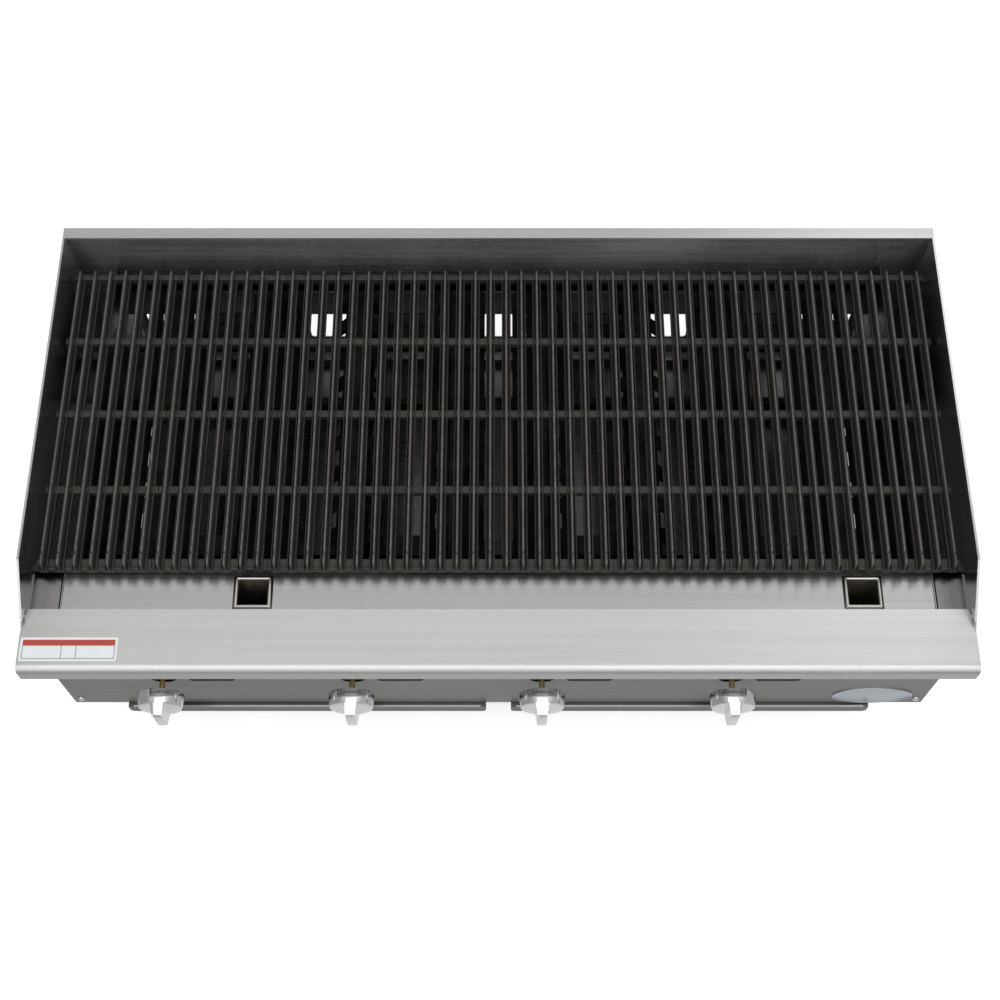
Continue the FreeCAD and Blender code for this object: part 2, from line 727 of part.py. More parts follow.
def radiant(x):
    """Inverted V casting over one burner leg, with two rows of heat slots."""
    y0 = baffle_y + sheet + touch_gap
    y1 = radiant_back_y
    half = radiant_width / 2
    ridge = radiant_ridge / 2
    wall = radiant_wall
    slant = math.hypot(half - ridge, radiant_height)
    level_wall = wall * slant / radiant_height
    inner_ridge = ridge - wall * (slant - half + ridge) / radiant_height
    outline = [(x - half, radiant_base), (x - ridge, radiant_top), (x + ridge, radiant_top),
               (x + half, radiant_base), (x + half - level_wall, radiant_base),
               (x + inner_ridge, radiant_top - wall), (x - inner_ridge, radiant_top - wall),
               (x - half + level_wall, radiant_base)]
    shell = along_y(outline, y0, y1)
    pitch = (y1 - y0 - 2 * radiant_slot_margin) / radiant_slots
    cuts = []
    for index in range(radiant_slots):
        y = y0 + radiant_slot_margin + pitch * (index + 0.5)
        for side in (-1, 1):
            middle = x + side * (half + ridge) / 2
            cuts.append(block(middle - radiant_slot_width / 2, middle + radiant_slot_width / 2,
                              y - radiant_slot_length / 2, y + radiant_slot_length / 2,
                              radiant_base - past, radiant_top + past))
    return shell.cut(cuts)


def radiant_pair(index):
    """The two radiants that stand over one burner."""
    x = module_x(index)
    return Part.makeCompound([radiant(x - leg_spacing / 2), radiant(x + leg_spacing / 2)])


# ---- gas train -----------------------------------------------------------------------------
def gas_manifold():
    """Front pipe, plugged at the left, turning at the right end and running to the rear."""
    left = -inner_half + manifold_end
    corner = V(feed_x, manifold_y, manifold_z)
    front = rod(pipe_radius, V(left, manifold_y, manifold_z), corner)
    feed = rod(pipe_radius, corner, V(feed_x, back_y + inlet_proud, manifold_z))
    elbow = Part.makeSphere(pipe_radius + fitting_wall, corner)
    cap_end = left - cap_floor / 2
    cap = rod(pipe_radius + fitting_wall, V(cap_end, manifold_y, manifold_z),
              V(cap_end + cap_length, manifold_y, manifold_z))
    collar = rod(inlet_collar_radius, V(feed_x, back_y, manifold_z),
                 V(feed_x, back_y + inlet_collar, manifold_z))
    pipe = joined([front, feed, elbow, cap, collar])
    bore_front = rod(pipe_bore, V(cap_end + cap_floor, manifold_y, manifold_z), corner)
    bore_feed = rod(pipe_bore, corner, V(feed_x, back_y + inlet_proud + past, manifold_z))
    bore_corner = Part.makeSphere(pipe_bore, corner)
    taps = [rod(valve_tap, V(valve_x(i), manifold_y, manifold_z),
                V(valve_x(i), manifold_y, manifold_z + pipe_radius + past)) for i in range(burner_count)]
    return pipe.cut([bore_front, bore_feed, bore_corner] + taps)


def burner_valves():
    """Four brass valves standing on the manifold, each with its orifice hood."""
    valves = []
    for index in range(burner_count):
        x = valve_x(index)
        front = panel_y + valve_front
        back = front + valve_length
        body = rod(valve_radius, V(x, front, knob_z), V(x, back, knob_z))
        hood_end = baffle_y - venturi_proud
        hood = rod(hood_radius, V(x, back - past, knob_z), V(x, hood_end, knob_z))
        tail = rod(valve_tail / 2, V(x, manifold_y, knob_z), V(x, manifold_y, manifold_z + pipe_bore))
        saddle = rod(pipe_radius, V(x - valve_tail, manifold_y, manifold_z),
                     V(x + valve_tail, manifold_y, manifold_z))
        hole = rod(stem_diameter / 2 + running_gap, V(x, front - past, knob_z),
                   V(x, front + stem_seat + past, knob_z))
        whole = joined([body, hood, tail.cut(saddle)]).cut(hole)
        valves.append(whole)
    return Part.makeCompound(valves)


def valve_stem(index):
    """Brass stem from inside the valve to inside the knob."""
    x = valve_x(index)
    knob_back = panel_y - knob_gap
    return rod(stem_diameter / 2, V(x, knob_back - stem_engagement, knob_z),
               V(x, panel_y + valve_front + stem_seat, knob_z))


def level_rectangle(x, y, width, height):
    """Upright rectangular wire round the knob axis at one y."""
    corners = [V(x - width / 2, y, knob_z - height / 2), V(x + width / 2, y, knob_z - height / 2),
               V(x + width / 2, y, knob_z + height / 2), V(x - width / 2, y, knob_z + height / 2)]
    return Part.makePolygon(corners + corners[:1])


def knob(index):
    """Chrome knob: tapered round skirt and an upright grip bar; upright means off."""
    x = valve_x(index)
    back = panel_y - knob_gap
    front = back - knob_skirt
    tip = front - knob_grip
    axis = V(0, -1, 0)
    skirt = Part.makeCone(knob_back_diameter / 2, knob_face_diameter / 2, knob_skirt,
                          V(x, back, knob_z), axis)
    rim = [edge for edge in skirt.Edges if len(edge.Vertexes) == 1 and edge.CenterOfMass.y < back - past]
    skirt = skirt.makeChamfer(knob_bevel, rim)
    length = knob_face_diameter - 2 * knob_bevel
    grip = Part.makeLoft([level_rectangle(x, front + past, knob_grip_root, length),
                          level_rectangle(x, tip, knob_grip_width, length)], True)
    grip = grip.common(Part.makeCylinder(length / 2, knob_grip + 2 * past, V(x, front + 2 * past, knob_z),
                                         axis))
    top = knob_z + length / 2
    grip = grip.cut(along_x([(front, top), (front, top + past), (tip - past, top + past),
                             (tip - past, top - knob_tip_drop)],
                            x - knob_grip_root, x + knob_grip_root))
    bore = rod(stem_diameter / 2, V(x, back + past, knob_z), V(x, back - stem_engagement, knob_z))
    return joined([skirt, grip]).cut(bore)


def pilot_valves():
    """Small brass pilot valves on the manifold."""
    valves = []
    for index in range(burner_count):
        x = valve_x(index) + pilot_from_valve
        low = manifold_z + pipe_radius
        body = block(x - pilot_valve, x + pilot_valve, manifold_y - pilot_valve, manifold_y + pilot_valve,
                     low, low + 2 * pilot_valve)
        screw = rod(pilot_screw, V(x, manifold_y, low + pilot_valve),
                    V(x, manifold_y - pilot_valve - pilot_screw_proud, low + pilot_valve))
        valves.append(joined([body, screw]))
    return Part.makeCompound(valves)


def pilot_burners():
    """Pilot tubes from the pilot valves through the lighting windows, with upright tips."""
    pilots = []
    for index in range(burner_count):
        x = valve_x(index) + pilot_from_valve
        tip_x = valve_x(index) + slot_offset
        z = manifold_z + pipe_radius + pilot_valve
        level = knob_z + pilot_level
        out_y = manifold_y + pilot_valve
        tip_y = burner_front_y + pilot_tip_gap
        tip_z = burner_top + pilot_tip_rise
        points = [V(x, out_y, z), V(x, out_y + pilot_bend, z), V(tip_x, baffle_y - 2 * pilot_bend, level),
                  V(tip_x, tip_y, level), V(tip_x, tip_y, tip_z - pilot_tip_length / 2)]
        tube = [rod(pilot_tube, a, b) for a, b in zip(points, points[1:])]
        tube.extend(Part.makeSphere(pilot_tube, point) for point in points[1:-1])
        tube.append(rod(pilot_tip, V(tip_x, tip_y, tip_z - pilot_tip_length), V(tip_x, tip_y, tip_z)))
        pilots.append(joined(tube))
    return Part.makeCompound(pilots)


# ---- base, trays, legs ---------------------------------------------------------------------
def base_rail(y0, y1):
    """Channel across the body: web between the side panels' flanges, two upstands over them."""
    low = leg_height
    web_half = half_width - flange_width - touch_gap
    web = block(-web_half, web_half, y0, y1, low, low + base_rail_sheet)
    front = block(-inner_half, inner_half, y0, y0 + base_rail_sheet, low + sheet, low + base_rail_height)
    back = block(-inner_half, inner_half, y1 - base_rail_sheet, y1, low + sheet, low + base_rail_height)
    return joined([web, front, back])


def base_rail_front():
    """Front channel; the chutes pass through it and two saddles carry the manifold."""
    y0 = base_rail_y
    rail = base_rail(y0, y0 + base_rail_width)
    y = chute_middle_y()
    cuts = [block(x - chute_width / 2, x + chute_width / 2, y - chute_depth / 2, y + chute_depth / 2 + past,
                  leg_height, leg_height + base_rail_height + past) for x in chute_places()]
    saddles = []
    for x in (-burner_pitch, burner_pitch):
        post = block(x - saddle_width / 2, x + saddle_width / 2, manifold_y - base_rail_sheet,
                     manifold_y + base_rail_sheet, leg_height, manifold_z - pipe_radius)
        saddles.append(post)
    return joined([rail] + saddles).cut(cuts)


def base_rail_rear():
    """Rear channel, just inside the rear panel's flange."""
    y1 = back_y - flange_width - touch_gap
    return base_rail(y1 - base_rail_width, y1)


def tray_edges():
    """Inner and outer edge of the right drip tray."""
    return tray_gap / 2, liner_half - tray_liner_gap


def drip_tray():
    """Right tray: shallow pan with a turned-down handle lip with round corners."""
    inner, outer = tray_edges()
    y0 = panel_y
    y1 = splash_y - tray_back_gap
    pan = block(inner, outer, y0, y1, tray_floor, tray_rim)
    hollow = block(inner + tray_sheet, outer - tray_sheet, y0 + tray_sheet, y1 - tray_sheet,
                   tray_floor + tray_sheet, tray_rim + past)
    pan = pan.cut(hollow)
    bridge = block(inner, outer, y0 - tray_lip_proud, y0 + tray_sheet, tray_rim - tray_sheet, tray_rim)
    lip = block(inner, outer, y0 - tray_lip_proud, y0 - tray_lip_proud + tray_sheet,
                tray_rim - tray_lip_height, tray_rim)
    lip = rounded(lip, tray_lip_corner, lambda edge: runs_along(edge, 1)
                  and edge.CenterOfMass.z < tray_rim - tray_lip_height / 2)
    return joined([pan, bridge, lip])


def tray_runners():
    """Two side runners and one middle runner that the trays slide on."""
    inner, outer = tray_edges()
    y0 = base_rail_y
    y1 = back_y - flange_width - touch_gap
    shelf_top = tray_floor - touch_gap
    shelf_low = shelf_top - runner_sheet
    web = outer + runner_side_gap
    side = block(web, web + runner_sheet, y0, y1, shelf_low, leg_height)
    shelf = block(web - runner_shelf, web + runner_sheet, y0, y1, shelf_low, shelf_top)
    right = joined([side, shelf])
    core = inner - runner_side_gap
    middle = joined([block(-core, core, y0, y1, shelf_low, leg_height),
                     block(-core - runner_shelf, core + runner_shelf, y0, y1, shelf_low, shelf_top)])
    hollow = block(-core + runner_sheet, core - runner_sheet, y0 - past, y1 + past, shelf_low - past,
                   leg_height - runner_sheet)
    return Part.makeCompound([right, mirrored(right), middle.cut(hollow)])


def leg_sockets():
    """Four legs: a square plate and a round socket with the foot's bore."""
    legs = []
    for x, y in leg_places():
        plate_low = leg_height - leg_plate_thickness
        plate = block(x - leg_plate / 2, x + leg_plate / 2, y - leg_plate / 2, y + leg_plate / 2,
                      plate_low, leg_height)
        plate = rounded(plate, leg_plate_corner, lambda edge: runs_along(edge, 2))
        tube = rod(leg_radius, V(x, y, foot_height + foot_shoulder_gap), V(x, y, plate_low + past))
        bore = rod(foot_stud_radius + running_gap, V(x, y, foot_height - past),
                   V(x, y, foot_height + foot_stud_length + 2 * past))
        legs.append(joined([plate, tube]).cut(bore))
    return Part.makeCompound(legs)


def foot(place):
    """Adjustable foot: round pad with a tapered top, and its stud."""
    x, y = place
    pad = rod(foot_radius, V(x, y, 0), V(x, y, foot_height))
    rims = [edge for edge in pad.Edges if len(edge.Vertexes) == 1]
    pad = pad.makeChamfer(foot_chamfer, rims)
    stud = rod(foot_stud_radius, V(x, y, foot_height - past), V(x, y, foot_height + foot_stud_length))
    return joined([pad, stud])


# ---- the whole machine ---------------------------------------------------------------------
def all_parts():
    """Every node's name and solid."""
    parts = {"side_panel_right": side_panel()}
    parts["side_panel_left"] = mirrored(parts["side_panel_right"])
    parts["back_splash"] = back_splash()
    parts["rear_panel"] = rear_panel()
    parts["front_ledge"] = front_ledge()
    parts["control_panel"] = control_panel()
    parts["panel_screws"] = panel_screws()
    parts["badge_plate"] = badge_plate()
    parts["grate_rail_front"] = grate_rail_front()
    parts["grate_rail_rear"] = grate_rail_rear()
    parts["grease_trough"] = grease_trough()
    parts["trough_flanges"] = trough_flanges()
    parts["drain_chutes"] = drain_chutes()
    parts["firebox_liner_right"] = firebox_liner()
    parts["firebox_liner_left"] = mirrored(parts["firebox_liner_right"])
    parts["heat_baffle"] = heat_baffle()
    parts["burner_supports"] = burner_supports()
    parts["radiant_rails"] = radiant_rails()
    parts["gas_manifold"] = gas_manifold()
    parts["burner_valves"] = burner_valves()
    parts["pilot_valves"] = pilot_valves()
    parts["pilot_burners"] = pilot_burners()
    parts["base_rail_front"] = base_rail_front()
    parts["base_rail_rear"] = base_rail_rear()
    parts["tray_runners"] = tray_runners()
    parts["leg_sockets"] = leg_sockets()
    parts["drip_tray_right"] = drip_tray()
    parts["drip_tray_left"] = mirrored(parts["drip_tray_right"])
    for index in range(burner_count):
        number = index + 1
        parts[f"burner_{number}"] = burner(index)
        parts[f"air_shutter_{number}"] = air_shutter(index)
        parts[f"radiant_pair_{number}"] = radiant_pair(index)
        parts[f"valve_stem_{number}"] = valve_stem(index)
        parts[f"knob_{number}"] = knob(index)
    first = grate()
    for index in range(grate_count):
        casting = first.copy()
        casting.translate(V(index * grate_pitch, 0, 0))
        parts[f"grate_{index + 1}"] = casting
    for index, place in enumerate(leg_places()):
        parts[f"foot_{index + 1}"] = foot(place)
    return parts


os.makedirs("parts", exist_ok=True)
for name, shape in all_parts().items():
    shape.exportStep(os.path.join("parts", name + ".step"))
    print(name, len(shape.Solids), "valid" if shape.isValid() else "INVALID", round(shape.Volume / 1000, 1))
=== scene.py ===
"""Looks of a countertop gas charbroiler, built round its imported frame.

Metres.  +X runs to the cook's right, +Y to the back wall, +Z up from the worktop.
"""

import logging
import math
from dataclasses import dataclass, field
from enum import Enum

import bmesh
import bpy
import numpy as np
from mathutils import Matrix, Vector


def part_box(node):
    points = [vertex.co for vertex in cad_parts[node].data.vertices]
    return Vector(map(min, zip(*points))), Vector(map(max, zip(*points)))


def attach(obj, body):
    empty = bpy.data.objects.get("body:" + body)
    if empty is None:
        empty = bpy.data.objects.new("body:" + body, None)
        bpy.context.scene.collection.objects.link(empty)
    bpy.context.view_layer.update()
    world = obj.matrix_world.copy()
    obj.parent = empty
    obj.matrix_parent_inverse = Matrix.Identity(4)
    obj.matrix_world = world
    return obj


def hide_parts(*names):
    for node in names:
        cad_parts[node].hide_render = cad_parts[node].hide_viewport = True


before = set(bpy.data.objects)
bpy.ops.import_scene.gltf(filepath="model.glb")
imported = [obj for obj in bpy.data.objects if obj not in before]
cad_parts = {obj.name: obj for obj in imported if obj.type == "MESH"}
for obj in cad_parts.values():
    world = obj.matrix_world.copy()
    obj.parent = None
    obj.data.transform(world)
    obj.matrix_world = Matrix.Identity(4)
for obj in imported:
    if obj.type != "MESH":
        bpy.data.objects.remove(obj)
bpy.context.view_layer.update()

LOG = logging.getLogger("charbroiler")
MM = 0.001
BURNERS = 4
GRATES = 8
Node = bpy.types.Node
Socket = bpy.types.NodeSocket
Mesh = bpy.types.Mesh
Piece = bpy.types.Object
Colour = tuple[float, float, float]


class Grain(Enum):
    """The axis that a brushed sheet's scratches run along."""

    ALONG_X = (1.0, 0.0, 0.0)
    ALONG_Y = (0.0, 1.0, 0.0)
    ALONG_Z = (0.0, 0.0, 1.0)

    def stretch(self, along: float, across: float) -> Colour:
        """Pattern scales per metre, low along the grain and high across it.

        Args:
            along: repeats per metre along the grain.
            across: repeats per metre across it.

        Returns:
            The three scales of a Mapping node.
        """
        return tuple(across + (along - across) * share for share in self.value)

    def blur_direction(self) -> Colour:
        """A direction across the grain, which reflections smear along."""
        return (0.0, 1.0, 1.0) if self is Grain.ALONG_X else (1.0, 0.0, 1.0) if self is Grain.ALONG_Y \
            else (1.0, 1.0, 0.0)


# ---- meshes ---------------------------------------------------------------------------------
def rounded_outline(corners: np.ndarray, radii: np.ndarray, steps: int = 4) -> np.ndarray:
    """A closed outline with its corners rounded.

    Each corner C becomes the curve (1-t)^2 A + 2t(1-t) C + t^2 B, where A and B lie on its two
    sides at the corner's radius from C.

    Args:
        corners: the polygon's corners, one row each.
        radii: each corner's radius, or one for all.
        steps: points on each rounded corner.

    Returns:
        The outline's points, one row each.
    """
    radius = np.broadcast_to(np.asarray(radii, float), len(corners))[:, None]
    before = np.roll(corners, 1, axis=0) - corners
    after = np.roll(corners, -1, axis=0) - corners
    start = corners + before * radius / np.linalg.norm(before, axis=1, keepdims=True)
    end = corners + after * radius / np.linalg.norm(after, axis=1, keepdims=True)
    t = np.linspace(0.0, 1.0, steps)[None, :, None]
    curve = (1 - t) ** 2 * start[:, None] + 2 * t * (1 - t) * corners[:, None] + t ** 2 * end[:, None]
    return curve.reshape(-1, corners.shape[1])


def rectangle(width: float, height: float) -> np.ndarray:
    """The four corners of a rectangle round the origin, anticlockwise."""
    return np.array([(-1, -1), (1, -1), (1, 1), (-1, 1)], float) * (width / 2, height / 2)


def skin(name: str, rings: np.ndarray, capped: bool = True) -> Mesh:
    """A closed surface through a stack of rings.

    Args:
        name: the mesh's name.
        rings: points by ring and place on the ring, shaped (rings, points, 3).
        capped: True to close the first and last ring with a face each.

    Returns:
        The mesh, its doubles merged and its faces pointing outwards.
    """
    rows, columns = rings.shape[:2]
    index = np.arange(rows * columns).reshape(rows, columns)
    turned = np.roll(index, -1, axis=1)
    quads = np.stack([index[:-1], turned[:-1], turned[1:], index[1:]], axis=-1).reshape(-1, 4)
    faces = quads.tolist()
    if capped:
        faces += [index[0].tolist(), index[-1].tolist()]
    mesh = bpy.data.meshes.new(name)
    mesh.from_pydata(rings.reshape(-1, 3).tolist(), [], faces)
    return cleaned(mesh)


def cleaned(mesh: Mesh) -> Mesh:
    """Merge the mesh's doubles and point its faces outwards."""
    work = bmesh.new()
    work.from_mesh(mesh)
    bmesh.ops.remove_doubles(work, verts=work.verts, dist=0.002 * MM)
    bmesh.ops.dissolve_degenerate(work, edges=work.edges, dist=0.0005 * MM)
    bmesh.ops.recalc_face_normals(work, faces=work.faces)
    work.to_mesh(mesh)
    work.free()
    return mesh


def lathe(name: str, profile: np.ndarray, centre: Vector, steps: int = 64) -> Mesh:
    """A turned piece: each profile point (radius, reach) becomes a circle round an axis along -Y.

    Point at angle a: x = radius cos a, z = radius sin a, y = -reach, all from the centre.

    Args:
        name: the mesh's name.
        profile: rows of radius and reach from one end of the piece to the other.
        centre: the point on the axis where reach is nought.
        steps: points round the circle.

    Returns:
        The closed mesh.
    """
    angle = np.linspace(0.0, 2 * np.pi, steps, endpoint=False)[None, :]
    radius, reach = profile[:, :1], profile[:, 1:]
    rings = np.stack([centre.x + radius * np.cos(angle),
                      centre.y - reach + 0 * angle,
                      centre.z + radius * np.sin(angle)], axis=-1)
    return skin(name, rings)


def swept(name: str, outline: np.ndarray, start: float, end: float, axis: int) -> Mesh:
    """A bar of one outline along the X axis (0) or the Y axis (1), its end corners eased.

    Args:
        name: the mesh's name.
        outline: rows of the two other coordinates, in axis order.
        start: where the bar begins on its axis.
        end: where it ends.
        axis: 0 or 1.

    Returns:
        The closed mesh.
    """
    size = np.ptp(outline, axis=0).min()
    along = np.array([start, start + 0.15 * size, end - 0.15 * size, end])
    shrink = np.array([0.7, 1.0, 1.0, 0.7])[:, None, None]
    middle = outline.mean(axis=0)
    flat = middle + (outline - middle)[None] * shrink
    spots = np.broadcast_to(along[:, None], flat.shape[:2])
    columns = [flat[..., 0], flat[..., 1]]
    columns.insert(axis, spots)
    return skin(name, np.stack(columns, axis=-1))


def round_outline(centre: tuple[float, float], radius: float, steps: int = 20) -> np.ndarray:
    """A circle's points round a centre."""
    angle = np.linspace(0, 2 * np.pi, steps, endpoint=False)
    return np.column_stack([centre[0] + radius * np.cos(angle), centre[1] + radius * np.sin(angle)])


def joined(name: str, meshes: list[Mesh]) -> Mesh:
    """One mesh that holds several shells."""
    work = bmesh.new()
    for mesh in meshes:
        work.from_mesh(mesh)
        bpy.data.meshes.remove(mesh)
    whole = bpy.data.meshes.new(name)
    work.to_mesh(whole)
    work.free()
    return whole


def united(name: str, first: Mesh, second: Mesh) -> Mesh:
    """The union of two meshes of closed shells, with nothing left inside.

    Args:
        name: the new mesh's name.
        first: a mesh whose shells stand clear of each other.
        second: another such mesh.

    Returns:
        The union; the two meshes are removed.
    """
    pair = [bpy.data.objects.new(name, mesh) for mesh in (first, second)]
    for piece in pair:
        bpy.context.scene.collection.objects.link(piece)
    union = pair[0].modifiers.new("union", "BOOLEAN")
    union.operation = "UNION"
    union.solver = "EXACT"
    union.use_self = True
    union.object = pair[1]
    graph = bpy.context.evaluated_depsgraph_get()
    whole = bpy.data.meshes.new_from_object(pair[0].evaluated_get(graph))
    for piece in pair:
        bpy.data.objects.remove(piece)
    for mesh in (first, second):
        bpy.data.meshes.remove(mesh)
    return cleaned(whole)


def moved(mesh: Mesh, step: Vector) -> Mesh:
    """A copy of the mesh, carried by a step."""
    copy = mesh.copy()
    copy.transform(Matrix.Translation(step))
    return copy


def add_piece(name: str, mesh: Mesh, finish: "Finish", body: str,
              stands_for: tuple[str, ...] = (), crease: float = 32.0) -> Piece:
    """Put a finished mesh into the scene as a piece of the machine.

    Args:
        name: the piece's name.
        mesh: its mesh, in place.
        finish: what its surface is made of.
        body: the moving body that it rides on.
        stands_for: plain nodes that it takes the place of.
        crease: edges that turn by more degrees than this stay sharp.

    Returns:
        The new object.
    """
    mesh.shade_smooth()
    mesh.set_sharp_from_angle(angle=math.radians(crease))
    mesh.materials.clear()
    mesh.materials.append(finish.material())
    piece = bpy.data.objects.new(name, mesh)
    bpy.context.scene.collection.objects.link(piece)
    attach(piece, body)
    if stands_for:
        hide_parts(*stands_for)
    LOG.info("%s: %d faces, rides on %s", name, len(mesh.polygons), body)
    return piece


def dress(names: list[str], finish: "Finish") -> None:
    """Give plain nodes their finish.

    Args:
        names: the nodes.
        finish: what their surface is made of.
    """
    material = finish.material()
    for name in names:
        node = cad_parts[name]
        node.data.materials.clear()
        node.data.materials.append(material)
    LOG.info("%s on %s", material.name, ", ".join(names))


def numbered(stem: str, count: int) -> list[str]:
    """Names stem_1 to stem_count."""
    return [f"{stem}_{number}" for number in range(1, count + 1)]


# ---- finishes -------------------------------------------------------------------------------
class Graph:
    """A material's nodes, with a Principled shader at their end."""

    def __init__(self, name: str, colour: Colour, roughness: float, metallic: float = 0.0) -> None:
        """Start a material.

        Args:
            name: the material's name.
            colour: its base colour.
            roughness: its roughness.
            metallic: 1 for bare metal.
        """
        self.material = bpy.data.materials.new(name)
        self.material.use_nodes = True
        self.nodes = self.material.node_tree.nodes
        self.links = self.material.node_tree.links
        self.shader = self.nodes["Principled BSDF"]
        self.set(self.shader, {"Base Color": (*colour, 1.0), "Roughness": roughness,
                               "Metallic": metallic})

    def set(self, node: Node, inputs: dict[str, object]) -> Node:
        """Give a node's sockets their values, or link other nodes' outputs to them."""
        for key, value in inputs.items():
            socket = node.inputs[key]
            if isinstance(value, bpy.types.NodeSocket):
                self.links.new(value, socket)
            else:
                socket.default_value = value
        return node

    def add(self, kind: str, inputs: dict[str, object], **settings: object) -> Node:
        """Add a node of a kind with its settings and inputs."""
        node = self.nodes.new(kind)
        for key, value in settings.items():
            setattr(node, key, value)
        return self.set(node, inputs)

    def place(self, scale: Colour) -> Socket:
        """Object coordinates, stretched by a scale per axis."""
        coordinates = self.add("ShaderNodeTexCoord", {}).outputs["Object"]
        return self.add("ShaderNodeMapping", {"Vector": coordinates, "Scale": scale}).outputs["Vector"]

    def noise(self, scale: Colour, detail: float = 3.0, rough: float = 0.55) -> Socket:
        """Smooth noise with so many repeats per metre along each axis."""
        return self.add("ShaderNodeTexNoise", {"Vector": self.place(scale), "Scale": 1.0, "Detail": detail,
                                               "Roughness": rough}).outputs["Fac"]

    def spread(self, value: Socket, low: float, high: float,
               start: float = 0.3, end: float = 0.7) -> Socket:
        """The value from start to end, made to run from low to high."""
        return self.add("ShaderNodeMapRange", {"Value": value, "From Min": start, "From Max": end,
                                               "To Min": low, "To Max": high}).outputs["Result"]

    def total(self, first: Socket, second: Socket, operation: str = "ADD") -> Socket:
        """Two values added, or put together by another operation."""
        node = self.add("ShaderNodeMath", {}, operation=operation)
        self.links.new(first, node.inputs[0])
        self.links.new(second, node.inputs[1])
        return node.outputs[0]

    def mix(self, share: Socket, low: Colour, high: Colour) -> Socket:
        """A colour that runs from low to high with the share."""
        node = self.add("ShaderNodeMix", {}, data_type="RGBA")
        self.links.new(share, node.inputs[0])
        node.inputs[6].default_value = (*low, 1.0)
        node.inputs[7].default_value = (*high, 1.0)
        return node.outputs[2]

    def bump(self, height: Socket, depth: float, strength: float = 1.0) -> None:
        """Raise the surface by the height times a depth in metres."""
        bump = self.add("ShaderNodeBump", {"Height": height, "Distance": depth, "Strength": strength})
        self.links.new(bump.outputs["Normal"], self.shader.inputs["Normal"])


def shade(colour: Colour, factor: float) -> Colour:
    """A colour made lighter or darker."""
    return tuple(min(1.0, channel * factor) for channel in colour)


# The materials made so far, by the name of their finish.
MADE: dict[str, bpy.types.Material] = {}


@dataclass(frozen=True)
class Finish:
    """What a surface is made of; each kind makes its own material once.

    Attributes:
        name: the material's name.
        colour: its base colour.
        roughness: its mean roughness.
    """

    name: str
    colour: Colour
    roughness: float

    def material(self) -> bpy.types.Material:
        """The finish's material, made at its first use."""
        if self.name not in MADE:
            MADE[self.name] = self.build().material
        return MADE[self.name]

    def build(self) -> Graph:
        """The finish's nodes."""
        raise NotImplementedError


@dataclass(frozen=True)
class BrushedSteel(Finish):
    """Sheet with fine parallel scratches, faint streaks and a cloudy sheen.

    Attributes:
        grain: the axis that the scratches run along.
        scratches: scratches per metre across the grain.
        depth: depth of the scratches in metres.
        smear: how far reflections smear across the grain, 0 to 1.
    """

    grain: Grain = Grain.ALONG_X
    scratches: float = 1500.0
    depth: float = 0.00001
    smear: float = 0.75

    def build(self) -> Graph:
        """Nodes: streaks in the colour, clouds in the roughness, scratches in the bump."""
        graph = Graph(self.name, self.colour, self.roughness, metallic=1.0)
        fine = graph.noise(self.grain.stretch(5.0, self.scratches), detail=2.0)
        streak = graph.noise(self.grain.stretch(1.2, 90.0))
        cloud = graph.noise((4.0, 4.0, 4.0), detail=4.0)
        tone = graph.spread(graph.total(fine, streak), 0.0, 1.0, 0.7, 1.3)
        rough = graph.total(graph.spread(fine, -0.04, 0.04), graph.spread(cloud, -0.03, 0.03))
        direction = graph.add("ShaderNodeCombineXYZ", dict(zip("XYZ", self.grain.blur_direction())))
        graph.set(graph.shader, {
            "Base Color": graph.mix(tone, shade(self.colour, 0.93), shade(self.colour, 1.06)),
            "Roughness": graph.add("ShaderNodeMath", {0: rough, 1: self.roughness}).outputs[0],
            "Anisotropic": self.smear,
            "Tangent": direction.outputs[0]})
        graph.bump(fine, self.depth)
        return graph


@dataclass(frozen=True)
class CastIron(Finish):
    """Sand-cast iron: grainy skin, soft hollows, mottled oil and heat stains, and a painted highlight on its
    tops.

    Attributes:
        stain: the colour of the mottling.
        grit: depth of the sand grain in metres.
        painted_highlight_above: height from which the iron is painted lighter as a highlight, in metres.
        painted_highlight_fade: the height that the painted highlight takes to reach its full share, in
            metres.
        painted_highlight: the colour of the painted highlight on the lit tops.
        painted_highlight_share: how far a top takes on that painted highlight colour.
        gloss: how strongly the dry skin reflects, where 0.5 is an ordinary surface.
    """

    stain: Colour = (0.05, 0.045, 0.04)
    grit: float = 0.00025
    painted_highlight_above: float = 9.0
    painted_highlight_fade: float = 10.0 * MM
    painted_highlight: Colour = (0.19, 0.187, 0.18)
    painted_highlight_share: float = 0.8
    gloss: float = 0.15

    def build(self) -> Graph:
        """Nodes: mottled colour, a painted highlight on the tops and two grains of bump."""
        graph = Graph(self.name, self.colour, self.roughness, metallic=0.35)
        grain = graph.noise((1400.0,) * 3, detail=3.0, rough=0.7)
        lumps = graph.noise((160.0,) * 3, detail=2.0)
        mottle = graph.noise((22.0,) * 3, detail=5.0, rough=0.65)
        body = graph.mix(graph.spread(mottle, 0.0, 1.0, 0.38, 0.62), self.colour, self.stain)
        # Painted highlight: above a height the colour turns lighter, standing in for the light that falls on
        # the tops.
        height = graph.add("ShaderNodeSeparateXYZ", {"Vector": graph.place((1.0, 1.0, 1.0))}).outputs["Z"]
        painted_highlight = graph.spread(height, 0.0, self.painted_highlight_share, self.painted_highlight_above,
                              self.painted_highlight_above + self.painted_highlight_fade)
        painted_highlight = graph.total(painted_highlight, graph.spread(lumps, 0.5, 1.2), "MULTIPLY")
        top = graph.add("ShaderNodeMix", {}, data_type="RGBA")
        graph.links.new(painted_highlight, top.inputs[0])
        graph.links.new(body, top.inputs[6])
        top.inputs[7].default_value = (*self.painted_highlight, 1.0)
        graph.set(graph.shader, {"Base Color": top.outputs[2], "Specular IOR Level": self.gloss,
                                 "Roughness": graph.spread(grain, self.roughness - 0.08,
                                                           self.roughness + 0.12)})
        graph.bump(graph.total(grain, lumps), self.grit, 0.6)
        return graph


